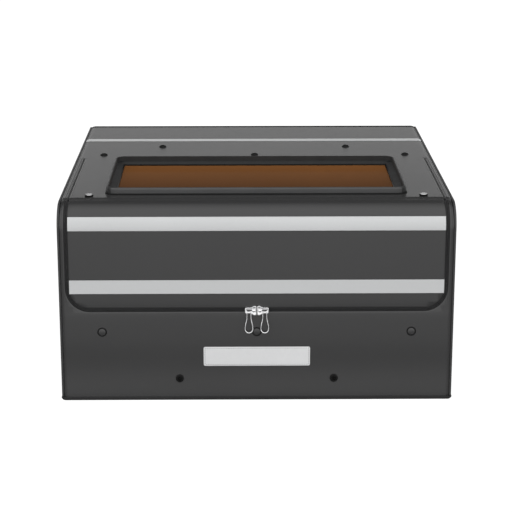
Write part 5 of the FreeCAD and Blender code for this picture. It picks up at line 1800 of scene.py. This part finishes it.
@dataclass
class Studio:
    """Floor, light and camera. The cove's light is given by angle: 0 is the front horizon, 90 straight up."""

    camera_at: tuple[float, float, float] = (-0.0312, -3.1624, 1.0590)
    pitch_down: float = 0.27505
    yaw: float = -0.0106
    lens: float = 116.57
    cove_strength: float = 1.6
    cove: tuple[tuple[float, float], ...] = (
        (-180.0, 0.30), (-90.0, 0.26), (-40.0, 0.17), (-21.0, 0.24), (-12.0, 1.50), (10.0, 1.50),
        (40.0, 1.40), (92.0, 1.30), (112.0, 0.75), (130.0, 0.08), (154.0, 0.05), (161.0, 0.16),
        (167.0, 0.60), (172.0, 0.70), (180.0, 0.74))

    def build(self) -> None:
        """Sets up the studio."""
        self.floor()
        self.sky()
        self.camera()

    def floor(self) -> None:
        """Plain white floor, lit evenly from within as on a light table."""
        Workpiece.deselect()
        bpy.ops.mesh.primitive_plane_add(size=60.0, location=(0.0, 0.0, 0.0))
        floor = bpy.context.object
        floor.name = "studio_floor"
        material = bpy.data.materials.new("studio_floor")
        material.use_nodes = True
        shader = material.node_tree.nodes["Principled BSDF"]
        shader.inputs["Base Color"].default_value = (0.10, 0.10, 0.10, 1.0)
        shader.inputs["Roughness"].default_value = 0.9
        shader.inputs["Specular IOR Level"].default_value = 0.0
        shader.inputs["Emission Color"].default_value = (1.0, 1.0, 1.0, 1.0)
        shader.inputs["Emission Strength"].default_value = 1.0
        floor.data.materials.append(material)
        floor.visible_diffuse = False
        floor.visible_glossy = False
        floor.visible_transmission = False
        floor.visible_shadow = False
        floor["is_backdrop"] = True

    def sky(self) -> None:
        """Long white cove: bright in front and over the front, dark above, dim at the back."""
        world = bpy.data.worlds.new("studio_cove")
        bpy.context.scene.world = world
        world.use_nodes = True
        world.node_tree.nodes.clear()
        desk = Desk(world.node_tree)
        output = desk.add("ShaderNodeOutputWorld")
        back = desk.add("ShaderNodeBackground")
        way = desk.add("ShaderNodeTexCoord").outputs["Generated"]
        parts = desk.add("ShaderNodeSeparateXYZ")
        desk.link(way, parts.inputs[0])
        angle = desk.math("ARCTAN2", parts.outputs["Z"], desk.math("MULTIPLY", parts.outputs["Y"], -1.0))
        turn = desk.math("ADD", desk.math("DIVIDE", angle, 2.0 * math.pi), 0.5)
        ramp = desk.add("ShaderNodeValToRGB")
        ramp.color_ramp.interpolation = "LINEAR"
        while len(ramp.color_ramp.elements) < len(self.cove):
            ramp.color_ramp.elements.new(0.5)
        for element, (degrees, value) in zip(ramp.color_ramp.elements, self.cove):
            element.position = degrees / 360.0 + 0.5
            share = value / self.cove_strength
            element.color = (share, share, share, 1.0)
        desk.link(turn, ramp.inputs[0])
        desk.link(ramp.outputs[0], back.inputs["Color"])
        back.inputs["Strength"].default_value = self.cove_strength
        desk.link(back.outputs[0], output.inputs["Surface"])

    def camera(self) -> None:
        """Camera in front, a little above the object."""
        data = bpy.data.cameras.new("camera")
        data.lens = self.lens
        data.sensor_width = 36.0
        camera = bpy.data.objects.new("camera", data)
        camera.location = self.camera_at
        camera.rotation_euler = (math.pi / 2 - self.pitch_down, 0.0, self.yaw)
        bpy.context.scene.collection.objects.link(camera)
        bpy.context.scene.camera = camera
        bpy.context.scene.view_settings.view_transform = "Standard"


def corners(bounds: Sequence[Sequence[float]]) -> list[list[float]]:
    """A box's two corners as plain lists of numbers."""
    return [[float(value) for value in corner] for corner in bounds]


def main() -> None:
    """Builds every sub-assembly in order."""
    logging.basicConfig(level=logging.INFO, format="%(name)s: %(message)s")
    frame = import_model()
    cad_box = corners(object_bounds())
    effects = Effects()
    paint = {finish.name: finish.material(effects) for finish in FINISHES}
    at = Places.read(frame)
    Studio().build()
    Enclosure(at, paint).build()
    Door(at, paint).build()
    Zip(at, paint).build()
    Fittings(at, paint).build()
    Machine(paint).build()
    {"cad_box": cad_box, "visual_box": corners(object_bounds())}


if __name__ == "__main__":
    main()
